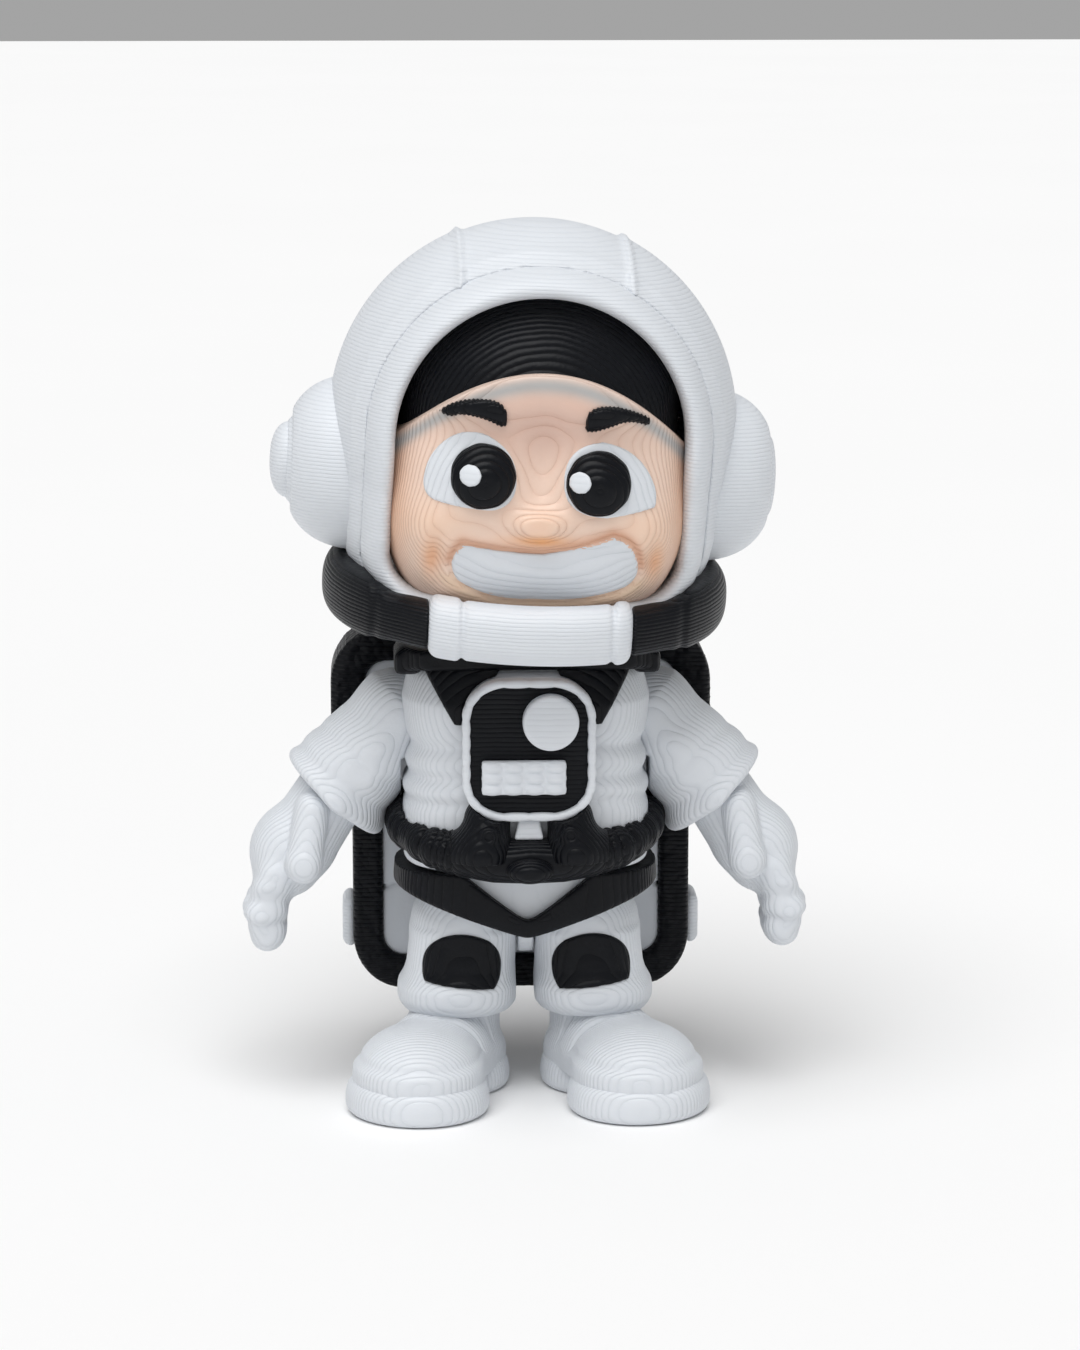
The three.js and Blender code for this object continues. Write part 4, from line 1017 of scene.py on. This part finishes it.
# ---------- arms ----------
SHOULDER = spot("left_shoulder_swing")
ARM_LEAN = math.radians(36)
CUFF_AXIS = np.array([math.sin(ARM_LEAN), 0, -math.cos(ARM_LEAN)])
CUFF_SIDE = np.array([math.cos(ARM_LEAN), 0, math.sin(ARM_LEAN)])
# puffs of the sleeve: sideways, height, how far out, how wide
SLEEVE_PUFFS = ((11.6, 25.1, 0.30, 1.0), (14.3, 23.4, 0.30, 1.1), (11.2, 27.6, 0.26, 1.2),
                (13.0, 27.0, 0.2, 1.4), (9.9, 25.0, 0.2, 1.2))
SLEEVE_MOUTH, MOUTH_SLANT = 8.45, 0.12
SLEEVE_MARKS = [-2, 0, 2.5, 5.0, 7.0, 8.0, 9.0]
SLEEVE_INNER = [3.2, 3.6, 3.9, 4.05, 4.2, 4.6, 4.8]
SLEEVE_OUTER = [2.5, 2.75, 3.4, 4.0, 4.4, 4.8, 4.9]


def sleeve_form(sign):
    def form(p):
        q = (p[0] * sign, p[1], p[2])
        u = [q[i] - SHOULDER[i] for i in range(3)]
        down = u[0] * CUFF_AXIS[0] + u[2] * CUFF_AXIS[2]
        out = u[0] * CUFF_SIDE[0] + u[2] * CUFF_SIDE[2]
        inner = np.interp(down, SLEEVE_MARKS, SLEEVE_INNER)
        outer = np.interp(down, SLEEVE_MARKS, SLEEVE_OUTER)
        share = ramp(out, -1.5, 2.5)
        radius = inner * (1 - share) + outer * share
        round_out = np.sqrt((out * 0.985) ** 2 + (u[1] * 1.06) ** 2)
        tube = (round_out - radius) * 0.93
        mouth = down - SLEEVE_MOUTH + MOUTH_SLANT * out
        hollow = ellipsoid((out, u[1], down), (0.3, 0, 10.0), (3.8, 3.5, 2.3))
        tube = smooth_both(tube, mouth, 0.9)
        tube = np.maximum(tube, -down - 1.0)
        body = smooth_union(tube, ball(q, SHOULDER, 3.1), 0.8)
        body = smooth_cut(body, hollow, 0.5)
        for bx, bz, high, wide in SLEEVE_PUFFS:
            body = body - high * bump3(q, (bx, -3.4, bz), (wide, 2.4, wide))
            body = body - high * bump3(q, (bx, 3.9, bz), (wide, 2.4, wide))
        body = body + 0.16 * np.exp(-((down - 6.6) / 0.5) ** 2)
        body = body + 0.12 * np.exp(-((down - 4.4 + 0.3 * np.sin(out)) / 0.45) ** 2)
        flank = np.where(q[2] < 26.6, TORSO_HALF + 0.12 - q[0], -1e3)
        return np.maximum(body, flank)
    return form


# each finger: how far back, height of its tip, how far out its middle joint stands
FINGERS = ((-2.15, 12.6, 0.0), (-0.75, 12.3, 0.1), (0.7, 12.3, 0.05), (2.05, 12.8, -0.1))
KNUCKLE_Z, CREASE_Z = 15.6, 13.6


def glove_form(sign):
    def form(p):
        q = (p[0] * sign, p[1], p[2])
        wrist = capsule(q, (14.4, 0.3, 23.9), (17.0, 0.2, 19.9), 2.75, 2.9)
        palm = ellipsoid(q, (18.25, 0.1, 18.7), (2.95, 3.3, 3.5))
        heel = ellipsoid(q, (16.7, 0.4, 18.6), (1.7, 2.4, 1.6))
        hand = many([wrist, palm, heel], 0.9)
        fingers = None
        for y, tip, out in FINGERS:
            joint = (20.4 + out, y, 14.6)
            upper = capsule(q, (19.2, y * 1.05, 17.4), joint, 1.25, 1.15)
            lower = capsule(q, joint, (19.85 + out * 0.5, y * 0.85, tip), 1.2, 1.3)
            inner = capsule(q, (19.2, y, 16.4), (19.5, y * 0.85, tip + 0.5), 1.2, 1.1)
            finger = smooth_union(smooth_union(upper, lower, 0.35), inner, 0.5)
            fingers = finger if fingers is None else smooth_union(fingers, finger, 0.45)
        knuckles = 0.14 * np.exp(-((q[2] - KNUCKLE_Z + 0.3 * np.sin(2.1 * q[1])) / 0.5) ** 2)
        hand = smooth_union(hand, fingers + knuckles, 0.8)
        crease = 0.18 * np.exp(-((q[2] - CREASE_Z - 0.25 * np.cos(2.4 * q[1])) / 0.35) ** 2)
        hand = hand + crease * (q[2] < 15)
        for bx, bz in ((20.2, 16.6), (19.6, 14.3), (20.6, 13.9)):
            hand = hand - 0.2 * bump3(q, (bx, -3.0, bz), (0.8, 1.4, 0.7))
        thumb = capsule(q, (16.3, -2.3, 22.6), (16.95, -3.55, 18.5), 1.35, 1.38)
        thumb = smooth_union(thumb, ball(q, (16.95, -3.6, 18.6), 1.42), 0.3)
        return smooth_union(hand, thumb, 0.3)
    return form


for name, sign in SIDES:
    piece(f"{name}_sleeve", sleeve_form(sign), "white_front", margin=0.6, step=0.18)
    piece(f"{name}_glove", glove_form(sign), "white_front", margin=0.5, step=0.16)

# ---------- legs ----------
PAD_LEFT = curve_points(
    (1.95, 10.2), ((1.8, 11.6), (2.9, 12.5)), ((4.7, 13.5), (6.5, 12.8)), ((8.1, 12.0), (8.0, 10.2)),
    ((8.0, 9.5), (7.8, 9.35)), ((5.6, 8.95), (2.5, 8.75)), ((2.0, 9.3), (1.95, 10.2)))
LEG_LEVELS = [5.9, 6.6, 7.4, 8.4, 9.2, 10.0, 13.0]
LEG_WIDE = [3.9, 4.3, 4.68, 4.7, 4.35, 4.2, 4.15]
LEG_DEEP = [3.9, 4.45, 4.85, 4.9, 4.6, 4.4, 4.12]
LEG_SQUARENESS = 2.4


def leg_form(p, sign, grow=0.0):
    x, y, z = p
    u = x * sign
    middle = np.interp(z, [6.4, 8.0, 9.6, 13.0], [5.25, 5.2, 5.0, HIP[0]])
    across = np.abs((u - middle) / np.interp(z, LEG_LEVELS, LEG_WIDE))
    ahead = np.abs((y + 0.2) / np.interp(z, LEG_LEVELS, LEG_DEEP))
    ring = (across ** LEG_SQUARENESS + ahead ** LEG_SQUARENESS) ** (1 / LEG_SQUARENESS)
    column = (ring - 1) * 4.4
    column = smooth_both(column, z - 13.0, 0.3)
    column = smooth_both(column, 6.35 - z, 0.7)
    body = smooth_union(column, ball((u, y, z), tuple(HIP), HIP_BALL), 0.4)
    body = body - 0.18 * bump3((u, y, z), (4.9, -4.6, 8.1), (2.0, 1.6, 0.9))
    return body - grow


def trouser_leg(sign):
    def form(p):
        body = leg_form(p, sign)
        pad = polygon(p[0] * sign, p[2], PAD_LEFT)
        seat = 0.1 * ramp(-pad, -0.5, 0.2) * (p[1] < -1)
        return np.maximum(body + seat, 0.75 - p[0] * sign)
    return form


def knee_pad(sign):
    def form(p):
        pad = polygon(p[0] * sign, p[2], PAD_LEFT)
        body = smooth_both(pad, leg_form(p, sign, 0.14), 0.2)
        body = np.maximum(body, -leg_form(p, sign, -0.6))
        return np.maximum(body, p[1] + 1.5)
    return form


for name, sign in SIDES:
    piece(f"{name}_trouser_leg", trouser_leg(sign), "white_front", margin=0.4, step=0.19)
    piece(f"{name}_knee_pad", knee_pad(sign), "black_front", margin=0.5, step=0.13)

ANKLE = spot("left_ankle_turn")
TOE_OUT = math.radians(24)
SOLE_TOP, SHAFT_TOP = 2.7, 7.4
# straps over the instep: how far ahead, how bent, how deep
BOOT_LINES = ((-4.9, 0.05, 0.3), (-2.7, 0.06, 0.28))


def foot_frame(p, sign):
    """Coordinates of the left foot with the toes straight ahead."""
    u = p[0] * sign - ANKLE[0]
    v = p[1] - ANKLE[1]
    cos, sin = math.cos(TOE_OUT), math.sin(TOE_OUT)
    return u * cos + v * sin, -u * sin + v * cos, p[2]


def sole_flat(fx, fy):
    """Outline of the sole seen from above: a wide toe and a narrower heel."""
    toe = (np.sqrt((fx / 5.55) ** 2 + ((fy + 7.5) / 5.2) ** 2) - 1) * 5.2
    heel = (np.sqrt((fx / 4.3) ** 2 + ((fy + 0.3) / 4.4) ** 2) - 1) * 4.2
    return smooth_union(toe, heel, 1.6)


def sole_form(sign):
    def form(p):
        fx, fy, fz = foot_frame(p, sign)
        flat = sole_flat(fx, fy)
        roll = slab(flat + 0.22 * ramp(fz, 1.2, SOLE_TOP), fz, 0.0, SOLE_TOP, 0.75)
        nick = 0.25 * bump3((fx, fy, fz), (0, -12.6, 2.5), (0.5, 0.6, 0.4))
        waist = np.exp(-((fy + 3.4) / 0.7) ** 2) * 0.25
        return np.maximum(roll + waist + nick, -fz)
    return form


def boot_form(sign):
    def form(p):
        fx, fy, fz = foot_frame(p, sign)
        flat = sole_flat(fx, fy) + 0.45
        rand = slab(flat + 0.15, fz, 1.2, 4.1, 0.7)
        toe = ellipsoid((fx, fy, fz), (0, -7.0, 2.9), (4.95, 5.2, 3.75))
        instep = ellipsoid((fx, fy, fz), (0, -2.9, 2.9), (4.1, 5.0, 4.2))
        heel = slab(np.sqrt(fx ** 2 + (fy - 0.1) ** 2) - 3.85, fz, 1.5, 4.0, 1.2)
        shaft = slab(np.sqrt(fx ** 2 + fy ** 2) - 3.45, fz, 1.5, SHAFT_TOP, 0.3)
        upper = many([toe, instep, heel, shaft], 0.9)
        for start, curve, depth in BOOT_LINES:
            line = fy - start - curve * fx * fx + 0.12 * fx
            upper = upper + depth * np.exp(-(line / 0.24) ** 2) * ramp(fz, 3.6, 4.8)
        body = smooth_union(upper, rand, 0.5)
        body = body + 0.14 * np.exp(-((fz - 4.15) / 0.3) ** 2) * ramp(-fy, 2, 5)
        return np.maximum(body, 1.6 - fz)
    return form


for name, sign in SIDES:
    piece(f"{name}_sole", sole_form(sign), "white_front", margin=0.6, step=0.18)
    piece(f"{name}_boot", boot_form(sign), "white_front", margin=0.6, step=0.18)

# ---------- inner CAD nodes keep their meshes ----------
HIDDEN = {
    "neck_post": "black_level",
    "hip_axle": "black_level",
    "upper_backpack_peg": "black_front",
    "lower_backpack_peg": "black_front",
    "left_shoulder_stud": "black_level",
    "right_shoulder_stud": "black_level",
}
for node_name, look in HIDDEN.items():
    kept = frame["nodes"][node_name]
    kept.data.materials.clear()
    kept.data.materials.append(LOOKS[look])

# ---------- floor, light and camera ----------
FLOOR_REACH = 2.0
FLOOR_LIGHT, FLOOR_DARK = (0.95, 0.95, 0.95, 1), (0.93, 0.93, 0.93, 1)
corners = [(a * FLOOR_REACH, b * FLOOR_REACH, 0) for a, b in ((-1, -1), (1, -1), (1, 1), (-1, 1))]
floor_mesh = bpy.data.meshes.new("floor")
floor_mesh.from_pydata(corners, [], [(0, 1, 2, 3)])
floor = bpy.data.objects.new("floor", floor_mesh)
bpy.context.scene.collection.objects.link(floor)
floor_look = bpy.data.materials.new("pale_floor")
floor_look.use_nodes = True
floor_shader = floor_look.node_tree.nodes["Principled BSDF"]
floor_shader.inputs["Roughness"].default_value = 0.9
floor_shader.inputs["Specular IOR Level"].default_value = 0.1
speck = node(floor_look.node_tree, "ShaderNodeTexNoise", (-600, 0), Scale=40.0)
tint = floor_look.node_tree.nodes.new("ShaderNodeMix")
tint.data_type = "RGBA"
tint.inputs["A"].default_value = FLOOR_LIGHT
tint.inputs["B"].default_value = FLOOR_DARK
floor_look.node_tree.links.new(speck.outputs["Fac"], tint.inputs["Factor"])
floor_look.node_tree.links.new(tint.outputs["Result"], floor_shader.inputs["Base Color"])
floor_mesh.materials.append(floor_look)

ROOM_LIGHT, SUN_LIGHT = 0.37, 2.28
SUN_SOFTNESS = math.radians(50)
SUN_TURN = (math.radians(22), math.radians(-8), 0)
world = bpy.data.worlds.new("studio")
bpy.context.scene.world = world
world.use_nodes = True
world.node_tree.nodes["Background"].inputs["Color"].default_value = (1, 1, 1, 1)
world.node_tree.nodes["Background"].inputs["Strength"].default_value = ROOM_LIGHT

sun_data = bpy.data.lights.new("soft_overhead", "SUN")
sun_data.energy = SUN_LIGHT
sun_data.angle = SUN_SOFTNESS
sun = bpy.data.objects.new("soft_overhead", sun_data)
bpy.context.scene.collection.objects.link(sun)
sun.rotation_euler = SUN_TURN

bpy.context.scene.view_settings.view_transform = "Standard"

LOOK_AT = Vector((1.2, 0.1, 32.4)) * MM
AZIMUTH, ELEVATION = math.radians(-2.5), math.radians(11.5)
DISTANCE = 300 * MM
LENS, SENSOR = 104.5, 36.0
camera_data = bpy.data.cameras.new("camera")
camera_data.sensor_width = SENSOR
camera_data.lens = LENS
camera_data.clip_start = 10 * MM
camera = bpy.data.objects.new("camera", camera_data)
bpy.context.scene.collection.objects.link(camera)
level = math.cos(ELEVATION)
back = Vector((math.sin(AZIMUTH) * level, -math.cos(AZIMUTH) * level, math.sin(ELEVATION)))
camera.location = LOOK_AT + back * DISTANCE
camera.rotation_euler = (-back).to_track_quat("-Z", "Y").to_euler()
bpy.context.scene.camera = camera
